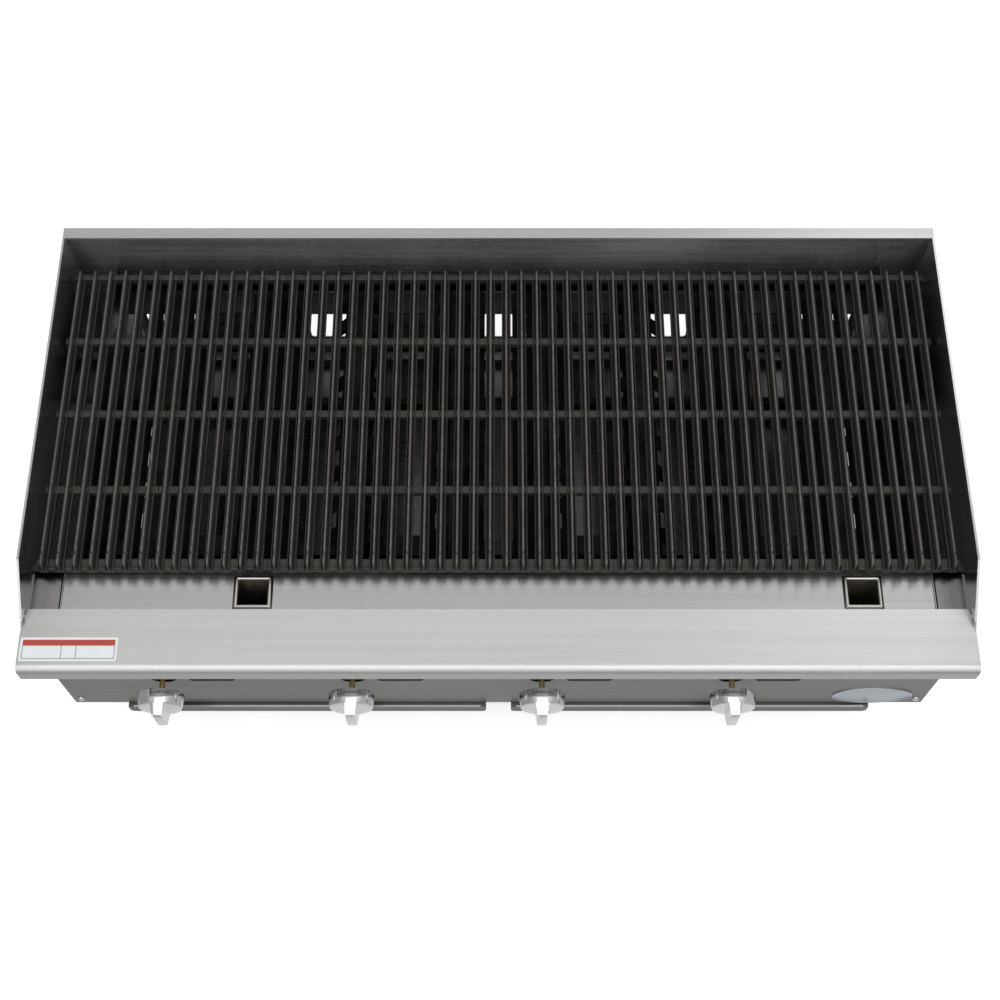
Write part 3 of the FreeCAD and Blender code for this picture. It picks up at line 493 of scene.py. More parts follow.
@dataclass(frozen=True)
class CoatedSheet(Finish):
    """Zinc or aluminium coated sheet with crystals, clouds and a little heat tint.

    Attributes:
        crystals: crystals per metre.
        contrast: how much the crystals differ in tone.
        tint: the colour that the clouds lean towards.
    """

    crystals: float = 70.0
    contrast: float = 0.12
    tint: Colour = (0.42, 0.39, 0.34)

    def build(self) -> Graph:
        """Nodes: one tone per crystal, clouded by a slow tint."""
        graph = Graph(self.name, self.colour, self.roughness, metallic=0.85)
        cells = graph.add("ShaderNodeTexVoronoi", {"Vector": graph.place((1.0, 1.0, 1.0)),
                                                   "Scale": self.crystals})
        tone = graph.add("ShaderNodeSeparateColor", {"Color": cells.outputs["Color"]}).outputs["Red"]
        cloud = graph.noise((7.0, 7.0, 7.0), detail=5.0)
        crystal = graph.mix(tone, shade(self.colour, 1 - self.contrast),
                            shade(self.colour, 1 + self.contrast))
        blend = graph.add("ShaderNodeMix", {}, data_type="RGBA")
        graph.links.new(graph.spread(cloud, 0.0, 0.6), blend.inputs[0])
        graph.links.new(crystal, blend.inputs[6])
        blend.inputs[7].default_value = (*self.tint, 1.0)
        graph.set(graph.shader, {"Base Color": blend.outputs[2],
                                 "Roughness": graph.spread(tone, self.roughness - 0.07,
                                                           self.roughness + 0.07, 0.0, 1.0)})
        graph.bump(graph.noise((350.0,) * 3), 0.00004)
        return graph


@dataclass(frozen=True)
class TurnedMetal(Finish):
    """Plated, polished or machined solid metal with faint ripple and dull specks.

    Attributes:
        ripple: depth of the surface's waviness in metres.
        dull: how much rougher the dull specks are.
    """

    ripple: float = 0.00001
    dull: float = 0.1

    def build(self) -> Graph:
        """Nodes: specks in roughness and colour, slow ripple in the bump."""
        graph = Graph(self.name, self.colour, self.roughness, metallic=1.0)
        specks = graph.noise((260.0,) * 3, detail=4.0, rough=0.7)
        ripple = graph.noise((60.0,) * 3, detail=1.0)
        graph.set(graph.shader, {
            "Base Color": graph.mix(graph.spread(specks, 0.0, 1.0, 0.4, 0.75),
                                    self.colour, shade(self.colour, 0.82)),
            "Roughness": graph.spread(specks, self.roughness, self.roughness + self.dull, 0.45, 0.75)})
        graph.bump(ripple, self.ripple)
        return graph


@dataclass(frozen=True)
class Coating(Finish):
    """Paint, rubber or printed film: a fine orange-peel skin with slight dust.

    Attributes:
        peel: depth of the skin's waves in metres.
        dust: the colour of the dust.
    """

    peel: float = 0.00004
    dust: Colour = (0.12, 0.12, 0.115)

    def build(self) -> Graph:
        """Nodes: dust in the colour, peel in the bump."""
        graph = Graph(self.name, self.colour, self.roughness)
        dust = graph.noise((35.0,) * 3, detail=5.0, rough=0.7)
        peel = graph.noise((700.0,) * 3, detail=2.0)
        graph.set(graph.shader, {
            "Base Color": graph.mix(graph.spread(dust, 0.0, 0.5, 0.5, 0.8), self.colour, self.dust),
            "Roughness": graph.spread(dust, self.roughness - 0.04, self.roughness + 0.1)})
        graph.bump(peel, self.peel)
        return graph


LEDGE_STEEL = BrushedSteel("brushed_steel_ledge", (0.60, 0.60, 0.595), 0.26, smear=0.95)
# The control panel's steel is a darker copy of the sheet steel: painted shade from the ledge's overhang.
SHADED_PANEL_STEEL = BrushedSteel("brushed_steel_panel_painted_shade", (0.28, 0.277, 0.272), 0.30)
SPLASH_STEEL = BrushedSteel("brushed_steel_splash", (0.56, 0.56, 0.58), 0.27, depth=0.000004, smear=1.0)
SIDE_STEEL = BrushedSteel("brushed_steel_side", (0.54, 0.54, 0.54), 0.20, Grain.ALONG_Y, depth=0.000004,
                          smear=0.9)
TROUGH_STEEL = BrushedSteel("brushed_steel_trough", (0.45, 0.45, 0.445), 0.24, depth=0.000004, smear=0.8)
FLANGE_STEEL = BrushedSteel("brushed_steel_flange", (0.30, 0.295, 0.285), 0.26, Grain.ALONG_Y)
RAIL_STEEL = BrushedSteel("dark_rail_steel", (0.055, 0.052, 0.048), 0.42, smear=0.3)
CHUTE_STEEL = BrushedSteel("brushed_steel_chute", (0.56, 0.54, 0.50), 0.20)
# The drip trays' steel is a darker copy of the sheet steel: painted shade under the control panel and inside
# the base.
SHADED_TRAY_STEEL = BrushedSteel("brushed_steel_tray_painted_shade", (0.17, 0.17, 0.17), 0.26)
MILL_STEEL = BrushedSteel("mill_steel", (0.50, 0.50, 0.50), 0.38, Grain.ALONG_X, 700.0, 0.00001, 0.4)
BACK_STEEL = BrushedSteel("mill_steel_back", (0.56, 0.56, 0.555), 0.36, Grain.ALONG_X, 700.0, 0.00001, 0.4)
LEG_STEEL = BrushedSteel("satin_leg_steel", (0.62, 0.62, 0.62), 0.30, Grain.ALONG_Z, 1200.0)
BADGE_METAL = BrushedSteel("satin_badge", (0.58, 0.64, 0.68), 0.30, Grain.ALONG_X, 2400.0, 0.000005, 0.5)
# The grates' rib tops above 392.5 mm carry a painted highlight, a lighter colour for the light on them.
GRATE_IRON = CastIron("sand_cast_grate", (0.060, 0.058, 0.055), 0.50, (0.080, 0.073, 0.064), 0.00025, 0.3925)
BURNER_IRON = CastIron("sand_cast_burner", (0.032, 0.030, 0.028), 0.62)
RADIANT_IRON = CastIron("sand_cast_radiant", (0.016, 0.0155, 0.015), 0.58, (0.055, 0.05, 0.044))
ALUMINISED = CoatedSheet("aluminised_sheet", (0.09, 0.083, 0.072), 0.46, 120.0, 0.05, (0.05, 0.046, 0.04))
GALVANISED = CoatedSheet("galvanised_sheet", (0.16, 0.163, 0.168), 0.40, 60.0, 0.16, (0.10, 0.10, 0.10))
ZINC = CoatedSheet("zinc_plate", (0.60, 0.58, 0.50), 0.30, 400.0, 0.05, (0.55, 0.52, 0.40))
CHROME = TurnedMetal("polished_chrome", (0.83, 0.84, 0.86), 0.04, 0.000002, 0.04)
SCREW_STEEL = TurnedMetal("screw_steel", (0.74, 0.73, 0.71), 0.22)
BRASS = TurnedMetal("machined_brass", (0.66, 0.47, 0.22), 0.26, 0.00001, 0.18)
TUBE_METAL = TurnedMetal("drawn_tube", (0.68, 0.68, 0.69), 0.30)
PIPE_PAINT = Coating("black_pipe", (0.018, 0.018, 0.019), 0.45)
FOOT_PLASTIC = Coating("black_foot", (0.020, 0.020, 0.021), 0.55, 0.00006)
LABEL_WHITE = Coating("label_white", (0.90, 0.93, 0.96), 0.30, 0.00001, (0.80, 0.82, 0.84))
LABEL_RED = Coating("label_red", (0.52, 0.06, 0.04), 0.30, 0.00001, (0.50, 0.12, 0.10))
LABEL_LINE = Coating("label_line", (0.10, 0.10, 0.11), 0.35, 0.00001)


# ---- grates ---------------------------------------------------------------------------------
@dataclass
class GrateSet:
    """Eight cast grates of seven bars; each bar is a gutter with a thin searing rib.

    Heights are above the seat, distances back are from a grate's front end.
    """

    bars: int = 7
    bar_width: float = 12.6 * MM
    foot_width: float = 10.6 * MM
    wall_height: float = 12.0 * MM
    gutter_floor: float = 6.5 * MM
    gutter_half: float = 4.3 * MM
    rib_half: float = 1.5 * MM
    cross_height: float = 10.6 * MM
    cross_width: float = 10.5 * MM
    cross_places: tuple[float, ...] = (115.5 * MM, 230.0 * MM, 344.5 * MM)
    nose_setback: float = 1.8 * MM
    nose_depth: float = 16.5 * MM
    nose_height: float = 6.2 * MM
    nose_rise: float = 2.0 * MM
    nose_bend: float = 1.8 * MM
    tail_depth: float = 8.5 * MM
    tail_height: float = 12.5 * MM
    notch_back: float = 16.5 * MM
    notch_length: float = 6.0 * MM
    notch_depth: float = 4.0 * MM
    end_round: float = 6.0 * MM

    def section(self, height: float) -> np.ndarray:
        """A bar's outline: foot, gutter walls, gutters and the rib between them.

        Args:
            height: the rib's height over the seat.

        Returns:
            Rows of sideways place and height, closed.
        """
        foot, wide, gutter, rib = self.foot_width / 2, self.bar_width / 2, self.gutter_half, self.rib_half
        half = np.array([(foot, 0.0), (wide, self.wall_height * 0.6), (wide - 0.4 * MM, self.wall_height),
                         (gutter, self.wall_height), (gutter - 0.6 * MM, self.gutter_floor),
                         (rib + 0.5 * MM, self.gutter_floor), (rib, height * 0.6), (rib - 0.25 * MM, height)])
        radii = np.array([1.2, 2.0, 0.8, 0.8, 1.2, 1.2, 2.0, 0.9]) * MM
        outline = np.concatenate([half, half[::-1] * (-1, 1)])
        return rounded_outline(outline, np.concatenate([radii, radii[::-1]]), 4)

    def ceiling(self, back: np.ndarray, length: float, height: float) -> np.ndarray:
        """How high a bar may reach at each distance back.

        The ends rise and fall as quarter circles, and a half-cosine dip near the front makes the
        notch that a lifting tool hooks into.

        Args:
            back: distances from the front end.
            length: the grate's length.
            height: the rib's height.

        Returns:
            The greatest height at each distance.
        """
        front = np.clip(back / self.end_round, 0, 1)
        rear = np.clip((length - back) / (0.5 * self.end_round), 0, 1)
        low = self.nose_height
        limit = low + (height - low) * np.sqrt(1 - (1 - front) ** 2) * np.sqrt(1 - (1 - rear) ** 2)
        into = np.clip(np.abs(back - self.notch_back - self.notch_length / 2) / (self.notch_length / 2), 0, 1)
        return limit - self.notch_depth * 0.5 * (1 + np.cos(np.pi * into))

    def bar(self, x: float, low: Vector, high: Vector) -> Mesh:
        """One bar, its section carried from the front end to the back."""
        length, height = high.y - low.y, high.z - low.z
        ends = self.end_round * (1 - np.cos(np.linspace(0, np.pi / 2, 7)))
        notch = self.notch_back + self.notch_length * np.linspace(0, 1, 9)
        plain = np.linspace(self.notch_back + 2 * self.notch_length, length - 2 * self.end_round, 14)
        tail = length - 0.5 * ends[::-1]
        back = np.concatenate([ends, notch, plain, tail])
        outline = self.section(height)
        top = np.minimum(outline[None, :, 1], self.ceiling(back, length, height)[:, None])
        rings = np.stack([np.broadcast_to(x + outline[:, 0], top.shape),
                          np.broadcast_to(low.y + back[:, None], top.shape),
                          low.z + top], axis=-1)
        return skin("bar", rings)

    def crossing(self, low: Vector, high: Vector, outline: np.ndarray, radii: np.ndarray) -> Mesh:
        """A member across the grate: a rounded (back, height) outline carried sideways."""
        curve = rounded_outline(outline, radii, 4)
        inset = np.array([0.6, 0.15, 0.0, 0.0, 0.15, 0.6]) * MM
        reach = np.array([0.0, 0.2, 0.7]) * MM
        side = np.concatenate([low.x + 0.15 * MM + reach, high.x - 0.15 * MM - reach[::-1]])
        middle = curve.mean(axis=0)
        away = curve - middle
        away /= np.linalg.norm(away, axis=1, keepdims=True)
        drawn = curve[None] - away[None] * inset[:, None, None]
        rings = np.concatenate([np.broadcast_to(side[:, None, None], (*drawn.shape[:2], 1)), drawn], axis=-1)
        return skin("crossing", rings + (0.0, low.y, low.z))

    def members(self, length: float) -> list[tuple[np.ndarray, np.ndarray]]:
        """Outlines and corner radii of the nose, the cross bars and the tail."""
        front, nose, tail = self.nose_setback, self.nose_depth, self.tail_depth
        found = [(np.array([(front, 0.8 * MM), (nose, 0.3 * MM), (nose, self.nose_height + self.nose_rise),
                            (front + 5.0 * MM, self.nose_height - 0.4 * MM),
                            (front + 2.2 * MM, self.nose_height + 0.8 * MM),
                            (front, self.nose_height - 0.8 * MM)]),
                  np.array([1.0 * MM, 0.5 * MM, self.nose_bend, 1.2 * MM, 1.0 * MM, 1.0 * MM]))]
        for place in self.cross_places:
            box = rectangle(self.cross_width, self.cross_height)
            found.append((box + (place, self.cross_height / 2 + 0.3 * MM), np.full(4, 1.6 * MM)))
        box = rectangle(tail, self.tail_height)
        found.append((box + (length - tail / 2 - 1.3 * MM, self.tail_height / 2 + 0.3 * MM),
                      np.array([0.8, 0.8, 1.2, 2.5]) * MM))
        return found

    def build(self) -> None:
        """Make the first grate, then set a copy of it in each place."""
        low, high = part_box("grate_1")
        pitch = (high.x - low.x) / self.bars
        middles = low.x + pitch * (np.arange(self.bars) + 0.5)
        bars = joined("bars", [self.bar(x, low, high) for x in middles])
        members = joined("members", [self.crossing(low, high, outline, radii)
                                     for outline, radii in self.members(high.y - low.y)])
        casting = united("casting", bars, members)
        for name in numbered("grate", GRATES):
            mesh = moved(casting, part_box(name)[0] - low)
            add_piece(f"cast_{name}", mesh, GRATE_IRON, name, (name,), 40.0)


# ---- knobs ----------------------------------------------------------------------------------
@dataclass
class KnobSet:
    """Four chrome knobs: a hollow tapered skirt and a tapered grip bar across its face."""

    back_radius: float = 32.0 * MM
    face_radius: float = 29.5 * MM
    skirt: float = 19.0 * MM
    wall: float = 2.4 * MM
    web: float = 4.0 * MM
    hub_radius: float = 8.5 * MM
    bore_radius: float = 4.05 * MM
    grip: float = 16.0 * MM
    grip_width: float = 12.6 * MM
    grip_root: float = 18.0 * MM
    tip_drop: float = 9.0 * MM
    edge: float = 0.9 * MM

    def skirt_mesh(self, centre: Vector) -> Mesh:
        """The turned skirt, hollow behind, with a hub round the stem."""
        floor = self.skirt - self.web
        edge = self.edge
        inside = self.back_radius - self.wall
        profile = np.array([
            (0.0, floor - 0.3 * MM), (self.bore_radius, floor - 0.3 * MM), (self.bore_radius, edge),
            (self.bore_radius + edge / 2, 0.0), (self.hub_radius - edge, 0.0), (self.hub_radius, edge),
            (self.hub_radius, floor - edge), (self.hub_radius + edge, floor), (inside - 2 * MM, floor),
            (inside - 1 * MM, floor - edge), (inside, edge), (inside + 0.3 * MM, 0.0),
            (self.back_radius - edge, 0.0), (self.back_radius - 0.3 * edge, 0.3 * edge),
            (self.back_radius, edge), (self.face_radius, self.skirt - edge),
            (self.face_radius - 0.3 * edge, self.skirt - 0.3 * edge), (self.face_radius - edge, self.skirt),
            (self.face_radius * 0.6, self.skirt), (0.0, self.skirt)])
        return lathe("skirt", profile, centre, 96)

    def grip_mesh(self, centre: Vector) -> Mesh:
        """The grip bar: rounded strips of a disc, narrowing outwards, with a rounded outer edge."""
        reach = self.skirt + np.array([-1.5 * MM, 0.0, self.grip * 0.5, self.grip - 2 * self.edge,
                                       self.grip - self.edge, self.grip - 0.3 * self.edge, self.grip])
        inset = np.array([0.0, 0.0, 0.0, 0.0, 0.0, 0.3 * self.edge, self.edge])
        share = (reach - self.skirt) / self.grip
        half = (self.grip_root + (self.grip_width - self.grip_root) * share) / 2 - inset
        disc = self.face_radius - self.edge - 0.4 * MM - inset
        sweep = np.linspace(-1, 1, 9)
        rings = []
        for out, side, radius in zip(reach, half, disc):
            x = side * sweep
            top = np.sqrt(radius ** 2 - x ** 2)
            upper = top[::-1] - self.tip_drop * np.clip((out - self.skirt) / self.grip, 0, 1)
            loop = np.concatenate([np.stack([x, -top], 1), np.stack([x[::-1], upper], 1)])
            rings.append(np.stack([centre.x + loop[:, 0], np.full(len(loop), centre.y - out),
                                   centre.z + loop[:, 1]], 1))
        return skin("grip", np.array(rings))

    def build(self) -> None:
        """Make a knob in front of each valve stem."""
        for number in range(1, BURNERS + 1):
            low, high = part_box(f"knob_{number}")
            centre = Vector(((low.x + high.x) / 2, high.y, (low.z + high.z) / 2))
            mesh = united("knob", self.skirt_mesh(centre), self.grip_mesh(centre))
            add_piece(f"chrome_knob_{number}", mesh, CHROME, f"knob_{number}",
                      (f"knob_{number}",), 24.0)
        dress(numbered("valve_stem", BURNERS), BRASS)


# ---- casing ---------------------------------------------------------------------------------
@dataclass
class Casing:
    """Outer stainless sheets with their screws, the blank badge and the blank label."""

    head_radius: float = 5.5 * MM
    head_height: float = 3.2 * MM
    recess_half: float = 0.75 * MM
    recess_reach: float = 2.9 * MM
    recess_depth: float = 1.6 * MM
    badge_rim: float = 3.2 * MM
    label_width: float = 124.0 * MM
    label_depth: float = 32.0 * MM
    label_side: float = 2.5 * MM
    label_front: float = 13.5 * MM
    label_margin: float = 3.2 * MM
    label_band: float = 8.0 * MM
    label_line: float = 0.7 * MM
    label_film: float = 0.15 * MM
    label_cells: tuple[float, float] = (0.42, 0.58)

    def screw_head(self, centre: Vector) -> Mesh:
        """A domed head with a cross recess.

        Height over the sheet: h (1 - (r/R)^2.6)^0.5, less the recess depth wherever either arm of
        the cross covers the point; the arms fade out over a third of a millimetre.

        Args:
            centre: the middle of the head's seat on the sheet.

        Returns:
            The closed head.
        """
        radius = self.head_radius * np.sin(np.linspace(0, np.pi / 2, 22))[:, None]
        angle = np.linspace(0, 2 * np.pi, 64, endpoint=False)[None, :]
        x, z = radius * np.cos(angle), radius * np.sin(angle)
        dome = self.head_height * np.sqrt(np.clip(1 - (radius / self.head_radius) ** 2.6, 0, 1))
        across = np.minimum(np.abs(x), np.abs(z))
        inside = np.clip((self.recess_half - across) / (0.35 * MM) + 0.5, 0, 1)
        inside *= np.clip((self.recess_reach - radius) / (0.35 * MM) + 0.5, 0, 1)
        out = dome - self.recess_depth * inside
        rings = np.stack([centre.x + x, centre.y - out + 0 * x, centre.z + z], axis=-1)
        return skin("head", rings)

    def screws(self) -> None:
        """Both lower corner screws of the control panel."""
        low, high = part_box("panel_screws")
        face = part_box("control_panel")[0].y
        level = (low.z + high.z) / 2
        heads = [self.screw_head(Vector((x, face, level)))
                 for x in (low.x + self.head_radius, high.x - self.head_radius)]
        add_piece("cross_head_screws", joined("screws", heads), SCREW_STEEL, "chassis",
                  ("panel_screws",), 50.0)

    def badge(self) -> None:
        """A blank oval plate: raised rim, then a shallow dish with a softly domed field.

        The surface is an ellipse scaled by s from 1 to 0; its height over the sheet follows a
        short profile across the rim and 1 - s^2 over the field.
        """
        low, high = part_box("badge_plate")
        centre = (low + high) / 2
        thickness = high.y - low.y
        long_half, short_half = (high.x - low.x) / 2, (high.z - low.z) / 2
        inward = np.array([0.0, 0.0, 0.3, 0.9, 2.3, 2.9, 3.4]) * MM
        height = np.array([0.0, 0.7, 0.92, 1.0, 1.0, 0.8, 0.45]) * thickness
        field_scale = np.linspace(0.94, 0.0, 16)
        shares = np.concatenate([np.zeros(7), 1 - field_scale / 0.94])
        inset = np.concatenate([inward, np.full(16, self.badge_rim)])
        out = np.concatenate([height, thickness * (0.40 + 0.35 * (1 - (field_scale / 0.94) ** 2))])
        angle = np.linspace(0, 2 * np.pi, 128, endpoint=False)[None, :]
        wide = ((long_half - inset) * (1 - shares))[:, None]
        tall = ((short_half - inset) * (1 - shares))[:, None]
        rings = np.stack([centre.x + wide * np.cos(angle), high.y - out[:, None] + 0 * angle,
                          centre.z + tall * np.sin(angle)], axis=-1)
        add_piece("blank_badge", skin("badge", rings), BADGE_METAL, "chassis",
                  ("badge_plate",), 30.0)

    def label(self) -> None:
        """A blank film label at the ledge's left end: backing, red band and ruled cells."""
        ledge_low, ledge_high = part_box("front_ledge")
        west = ledge_low.x + self.label_side
        south = ledge_low.y + self.label_front
        backing = rounded_outline(rectangle(self.label_width, self.label_depth), 3.0 * MM, 6)
        backing += (west + self.label_width / 2, south + self.label_depth / 2)
        levels = ledge_high.z + self.label_film * np.array([0.0, 1.0])
        rings = np.stack([np.column_stack([backing, np.full(len(backing), level)]) for level in levels])
        add_piece("label_backing", skin("backing", rings), LABEL_WHITE, "chassis")
        self.print_on_label(west, south, levels[1])

    def print_on_label(self, west: float, south: float, level: float) -> None:
        """The band and the rules, as thin printed strips on the backing.

        Args:
            west: the label's left edge.
            south: its front edge.
            level: its upper face.
        """
        margin, line, band = self.label_margin, self.label_line, self.label_band
        x0, x1 = west + margin, west + self.label_width - margin
        y0, y1 = south + margin, south + self.label_depth - margin
        cells = [x0 + (x1 - x0) * share for share in self.label_cells]
        strips = [(x0, x1, y0, y0 + line), (x0, x0 + line, y0 + line, y1 - band),
                  (x1 - line, x1, y0 + line, y1 - band)]
        strips += [(x, x + line, y0 + line, y1 - band) for x in cells]
        for name, boxes, finish in (("label_band", [(x0, x1, y1 - band, y1)], LABEL_RED),
                                    ("label_rules", strips, LABEL_LINE)):
            shells = [self.strip(box, level) for box in boxes]
            add_piece(name, joined(name, shells), finish, "chassis")

    def strip(self, box: tuple[float, float, float, float], level: float) -> Mesh:
        """A thin printed rectangle from x0, x1, y0, y1 on a level."""
        x0, x1, y0, y1 = box
        plan = rectangle(x1 - x0, y1 - y0) + ((x0 + x1) / 2, (y0 + y1) / 2)
        heights = level + self.label_film * np.array([-0.2, 0.3])
        return skin("strip", np.stack([np.column_stack([plan, np.full(4, z)]) for z in heights]))

    def build(self) -> None:
        """Dress the sheets and add the small pieces."""
        dress(["front_ledge"], LEDGE_STEEL)
        dress(["control_panel"], SHADED_PANEL_STEEL)
        dress(["back_splash"], SPLASH_STEEL)
        dress(["side_panel_left", "side_panel_right"], SIDE_STEEL)
        dress(["rear_panel"], BACK_STEEL)
        self.screws()
        self.badge()
        self.label()


# ---- inside, gas train, base ----------------------------------------------------------------
@dataclass
class GreaseTrough:
    """The trough plate with its two raised chute mouths and the seams at its ends."""

    mouth_width: float = 52.0 * MM
    mouth_depth: float = 48.0 * MM
    mouth_height: float = 4.0 * MM
    mouth_corner: float = 2.5 * MM
    rim: float = 5.5 * MM
    wall: float = 1.5 * MM
    seam: float = 4.5 * MM
    seam_strip: float = 1.5 * MM
    edge_roll: float = 0.9 * MM

    def chute(self, x: float, y: float, top: float, bottom: float) -> Mesh:
        """A square tube whose mouth swells into a rounded frame on the trough plate.

        Each row of the profile is an inset from the mouth's outer edge and a height over the
        plate; it becomes a rounded rectangle, and the last row joins the first.

        Args:
            x: the tube's middle.
            y: the tube's middle.
            top: the top of the mouth.
            bottom: the tube's lower end.

        Returns:
            The closed mesh.
        """
        rise, bore = self.mouth_height, self.rim + self.wall
        plate = top - rise
        shoulder = np.array([(0.0, 0.0), (0.10, 0.30), (0.24, 0.62), (0.40, 0.88), (0.56, 1.0),
                             (0.74, 0.94), (0.90, 0.72), (1.0, 0.35)]) * (bore, rise)
        tube = np.array([(bore, bottom - plate), (self.rim, bottom - plate), (self.rim, 0.02 * MM),
                         (0.0, 0.0)])
        rings = []
        for inset, height in np.concatenate([shoulder, tube]):
            plan = rectangle(self.mouth_width - 2 * inset, self.mouth_depth - 2 * inset) + (x, y)
            plan = rounded_outline(plan, max(self.mouth_corner - 0.2 * inset, 1.0 * MM), 5)
            rings.append(np.column_stack([plan, np.full(len(plan), plate + height)]))
        return skin("chute", np.array(rings), capped=False)

    def build(self) -> None:
        """Dress the sheets, then add the chutes and the seams' strips and rolled edges."""
        dress(["grease_trough"], TROUGH_STEEL)
        dress(["trough_flanges"], FLANGE_STEEL)
        low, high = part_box("drain_chutes")
        middles = (low.x + self.mouth_width / 2, high.x - self.mouth_width / 2)
        chutes = [self.chute(x, (low.y + high.y) / 2, high.z, low.z) for x in middles]
        add_piece("flared_chutes", joined("chutes", chutes), CHUTE_STEEL, "chassis",
                  ("drain_chutes",), 50.0)
        west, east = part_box("grease_trough")
        front, back, plate = west.y + 0.2 * MM, east.y - 6.0 * MM, east.z
        strips, rolls = [], []
        for side in (-1, 1):
            strip = rectangle(self.seam_strip, 1.0 * MM) + (side * (east.x + self.seam / 2), plate - 1.3 * MM)
            strips.append(swept("strip", rounded_outline(strip, 0.3 * MM, 4), front, back, 1))
            roll = round_outline((side * (east.x + 0.2 * MM), plate - 0.7 * MM), self.edge_roll)
            rolls.append(swept("roll", roll, front, back, 1))
        add_piece("trough_seam_strips", joined("strips", strips), MILL_STEEL, "chassis")
        add_piece("trough_rolled_edges", joined("rolls", rolls), LEDGE_STEEL, "chassis")


@dataclass
class Firebox:
    """Everything between the side panels: liners, burners, radiants and supports."""

    rails: list[str] = field(default_factory=lambda: ["grate_rail_front", "grate_rail_rear",
                                                      "radiant_rails", "burner_supports"])
    liners: list[str] = field(default_factory=lambda: ["firebox_liner_left", "firebox_liner_right",
                                                       "heat_baffle"])

    def build(self) -> None:
        """Dress the firebox."""
        dress(self.rails, RAIL_STEEL)
        dress(self.liners, ALUMINISED)
        dress(numbered("burner", BURNERS), BURNER_IRON)
        dress(numbered("radiant_pair", BURNERS), RADIANT_IRON)


@dataclass
class GasTrain:
    """Manifold, valves, pilots and air shutters."""

    brass: list[str] = field(default_factory=lambda: ["burner_valves", "pilot_valves"])

    def build(self) -> None:
        """Dress the gas train."""
        dress(["gas_manifold"], PIPE_PAINT)
        dress(self.brass, BRASS)
        dress(["pilot_burners"], TUBE_METAL)
        dress(numbered("air_shutter", BURNERS), ZINC)


@dataclass
class Base:
    """Base channels, tray runners, drip trays, legs and feet."""

    channels: list[str] = field(default_factory=lambda: ["base_rail_front", "base_rail_rear",
                                                         "tray_runners"])
    hem_radius: float = 1.9 * MM
    hem_inset: float = 7.0 * MM

    def build(self) -> None:
        """Dress the base."""
        dress(self.channels, GALVANISED)
        for side in ("left", "right"):
            dress([f"drip_tray_{side}"], SHADED_TRAY_STEEL)
            low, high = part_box(f"drip_tray_{side}")
            bend = (low.y + self.hem_radius - 0.3 * MM, high.z - self.hem_radius + 0.3 * MM)
            hem = swept("hem", round_outline(bend, self.hem_radius), low.x + self.hem_inset,
                        high.x - self.hem_inset, 0)
            add_piece(f"rolled_hem_{side}", hem, LEDGE_STEEL, f"tray_{side}")
        dress(["leg_sockets"], LEG_STEEL)
        dress(numbered("foot", 4), FOOT_PLASTIC)


# ---- studio ---------------------------------------------------------------------------------
@dataclass
class SoftBox:
    """A rectangular area light that faces a point of the machine.

    Attributes:
        name: the lamp's name.
        place: where it stands.
        width: its long side.
        height: its short side.
        power: watts.
    """

    name: str
    place: Colour
    width: float
    height: float
    power: float
    target: Colour = (0.0, 0.0, 0.3)

    def build(self) -> None:
        """Hang the lamp and aim it."""
        data = bpy.data.lights.new(self.name, "AREA")
        data.shape = "RECTANGLE"
        data.size = self.width
        data.size_y = self.height
        data.energy = self.power
        lamp = bpy.data.objects.new(self.name, data)
        lamp.location = self.place
        aim = Vector(self.target) - Vector(self.place)
        lamp.rotation_euler = aim.to_track_quat("-Z", "Y").to_euler()
        bpy.context.scene.collection.objects.link(lamp)


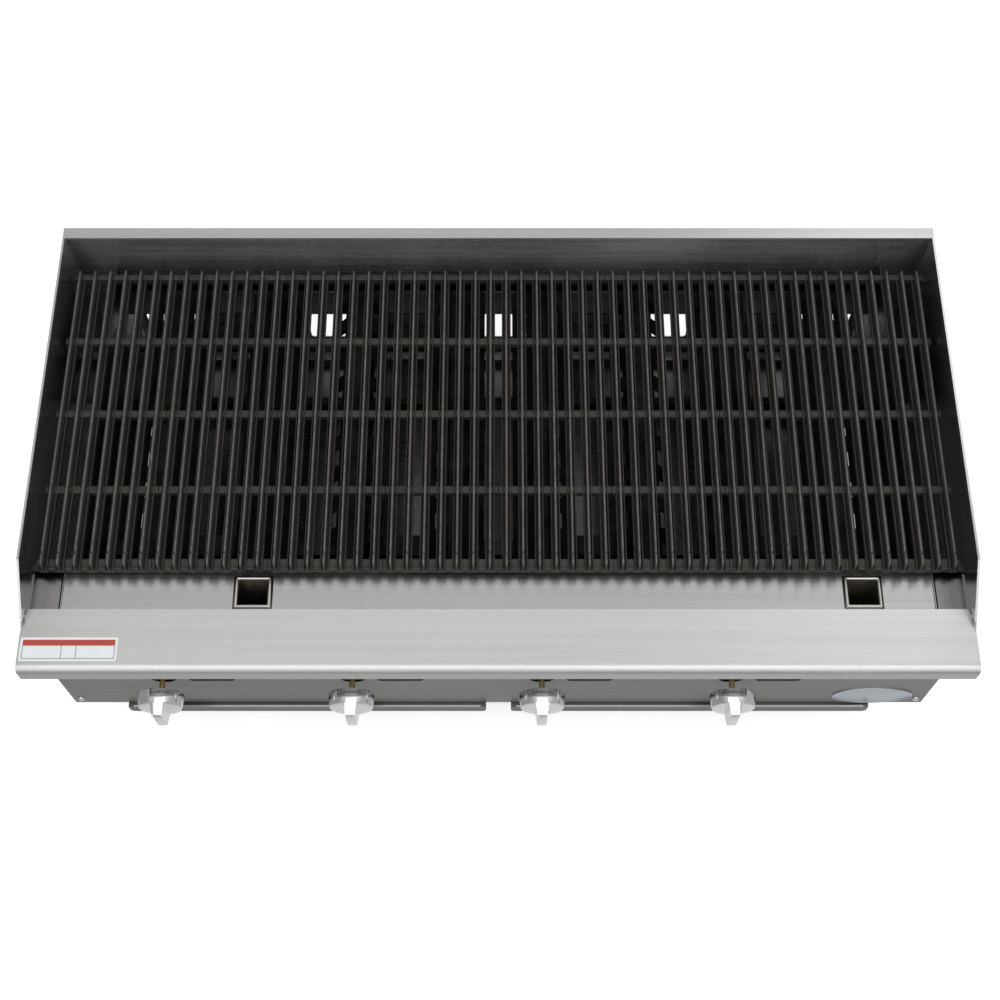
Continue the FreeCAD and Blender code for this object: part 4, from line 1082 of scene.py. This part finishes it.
@dataclass
class Studio:
    """Pale floor, soft boxes, sky and the camera above the cook's side.

    Attributes:
        floor_glow: the floor's own light, which keeps it white round the machine.
        card_width: width of the dark card that lies under the machine.
        card_depth: its depth.
        card_middle: its middle, along the depth.
        card_sheet: its thickness, and its height over the floor.
        tones: the sky's tone at each height, from straight down at -1 to straight up at 1.
        lean: how much lighter the sky is on the right than in the middle.
        boxes: the soft boxes.
    """

    camera_place: Colour = (0.0022, -0.96715, 2.2460)
    camera_tilt: float = 25.23
    lens: float = 55.71
    sensor: float = 36.0
    floor_size: float = 40.0
    floor_glow: float = 0.55
    card_width: float = 1.16
    card_depth: float = 0.50
    card_middle: float = 0.03
    card_sheet: float = 1.0 * MM
    tones: tuple[tuple[float, float], ...] = ((-1.0, 0.70), (-0.90, 0.66), (-0.78, 0.38), (-0.04, 0.38),
                                              (0.25, 0.36), (0.55, 0.42), (0.80, 0.70), (1.0, 0.70))
    lean: float = 0.20
    boxes: tuple[SoftBox, ...] = (
        SoftBox("overhead_box", (0.0, 0.9, 3.2), 3.0, 1.8, 4.5),
        SoftBox("right_box", (1.5, 2.0, 2.9), 1.5, 1.5, 5.5),
        SoftBox("front_box", (0.0, -1.7, 2.9), 3.2, 2.0, 22.0),
        SoftBox("low_front_box", (0.0, -3.2, 1.7), 4.5, 2.6, 24.0))

    def floor(self) -> None:
        """A pale matt floor that metal doesn't mirror."""
        half = self.floor_size / 2
        mesh = bpy.data.meshes.new("floor")
        mesh.from_pydata([(-half, -half, 0), (half, -half, 0), (half, half, 0), (-half, half, 0)], [],
                         [(0, 1, 2, 3)])
        graph = Graph("floor_paint", (0.93, 0.93, 0.93), 0.9)
        speckle = graph.noise((3.0, 3.0, 3.0))
        graph.set(graph.shader, {"Base Color": graph.mix(speckle, (0.92, 0.92, 0.92), (0.94, 0.94, 0.94)),
                                 "Emission Color": (1.0, 1.0, 1.0, 1.0),
                                 "Emission Strength": self.floor_glow})
        mesh.materials.append(graph.material)
        floor = bpy.data.objects.new("floor", mesh)
        floor.visible_glossy = False
        bpy.context.scene.collection.objects.link(floor)

    def shade_card(self) -> None:
        """A dark card under the machine that stands in for the shaded floor there: painted shade for its
        polished insides to mirror.
        """
        plan = rectangle(self.card_width, self.card_depth) + (0.0, self.card_middle)
        levels = np.array([1.0, 2.0]) * self.card_sheet
        mesh = skin("shade_card", np.stack([np.column_stack([plan, np.full(4, z)]) for z in levels]))
        graph = Graph("painted_shade_card", (0.04, 0.04, 0.04), 0.9)
        graph.bump(graph.noise((200.0, 200.0, 200.0)), 0.0005)
        mesh.materials.append(graph.material)
        card = bpy.data.objects.new("shade_card", mesh)
        card.visible_camera = False
        card.visible_shadow = False
        bpy.context.scene.collection.objects.link(card)

    def sky(self) -> None:
        """A grey surround, darker below the horizon and brightest overhead."""
        world = bpy.data.worlds.new("studio")
        bpy.context.scene.world = world
        world.use_nodes = True
        nodes, links = world.node_tree.nodes, world.node_tree.links
        place = nodes.new("ShaderNodeTexCoord")
        split = nodes.new("ShaderNodeSeparateXYZ")
        ramp = nodes.new("ShaderNodeValToRGB")
        half = nodes.new("ShaderNodeMapRange")
        side = nodes.new("ShaderNodeMapRange")
        links.new(place.outputs["Generated"], split.inputs[0])
        for node, axis in ((half, "Z"), (side, "X")):
            node.inputs["From Min"].default_value = -1.0
            links.new(split.outputs[axis], node.inputs["Value"])
        side.inputs["To Min"].default_value = 1.0 - self.lean
        side.inputs["To Max"].default_value = 1.0 + self.lean
        links.new(half.outputs["Result"], ramp.inputs["Fac"])
        steps = ramp.color_ramp.elements
        steps[1].position = 1.0
        for height, tone in self.tones[1:-1]:
            steps.new((height + 1) / 2)
        for step, (height, tone) in zip(steps, self.tones):
            step.color = (tone, tone, tone, 1.0)
        links.new(ramp.outputs["Color"], nodes["Background"].inputs["Color"])
        links.new(side.outputs["Result"], nodes["Background"].inputs["Strength"])

    def camera(self) -> None:
        """The camera, square to the front and looking down into the grates."""
        data = bpy.data.cameras.new("camera")
        data.lens = self.lens
        data.sensor_width = self.sensor
        camera = bpy.data.objects.new("camera", data)
        camera.location = self.camera_place
        camera.rotation_euler = (math.radians(self.camera_tilt), 0.0, 0.0)
        bpy.context.scene.collection.objects.link(camera)
        bpy.context.scene.camera = camera

    def build(self) -> None:
        """Set the stage."""
        self.camera()
        self.floor()
        self.shade_card()
        self.sky()
        for box in self.boxes:
            box.build()
        bpy.context.scene.view_settings.view_transform = "Standard"
        LOG.info("studio ready, %d soft boxes", len(self.boxes))


def main() -> None:
    """Build each sub-assembly in order."""
    logging.basicConfig(level=logging.INFO, format="%(name)s: %(message)s")
    Studio().build()
    for assembly in (Casing(), GreaseTrough(), GrateSet(), KnobSet(), Firebox(), GasTrain(), Base()):
        assembly.build()


if __name__ == "__main__":
    main()
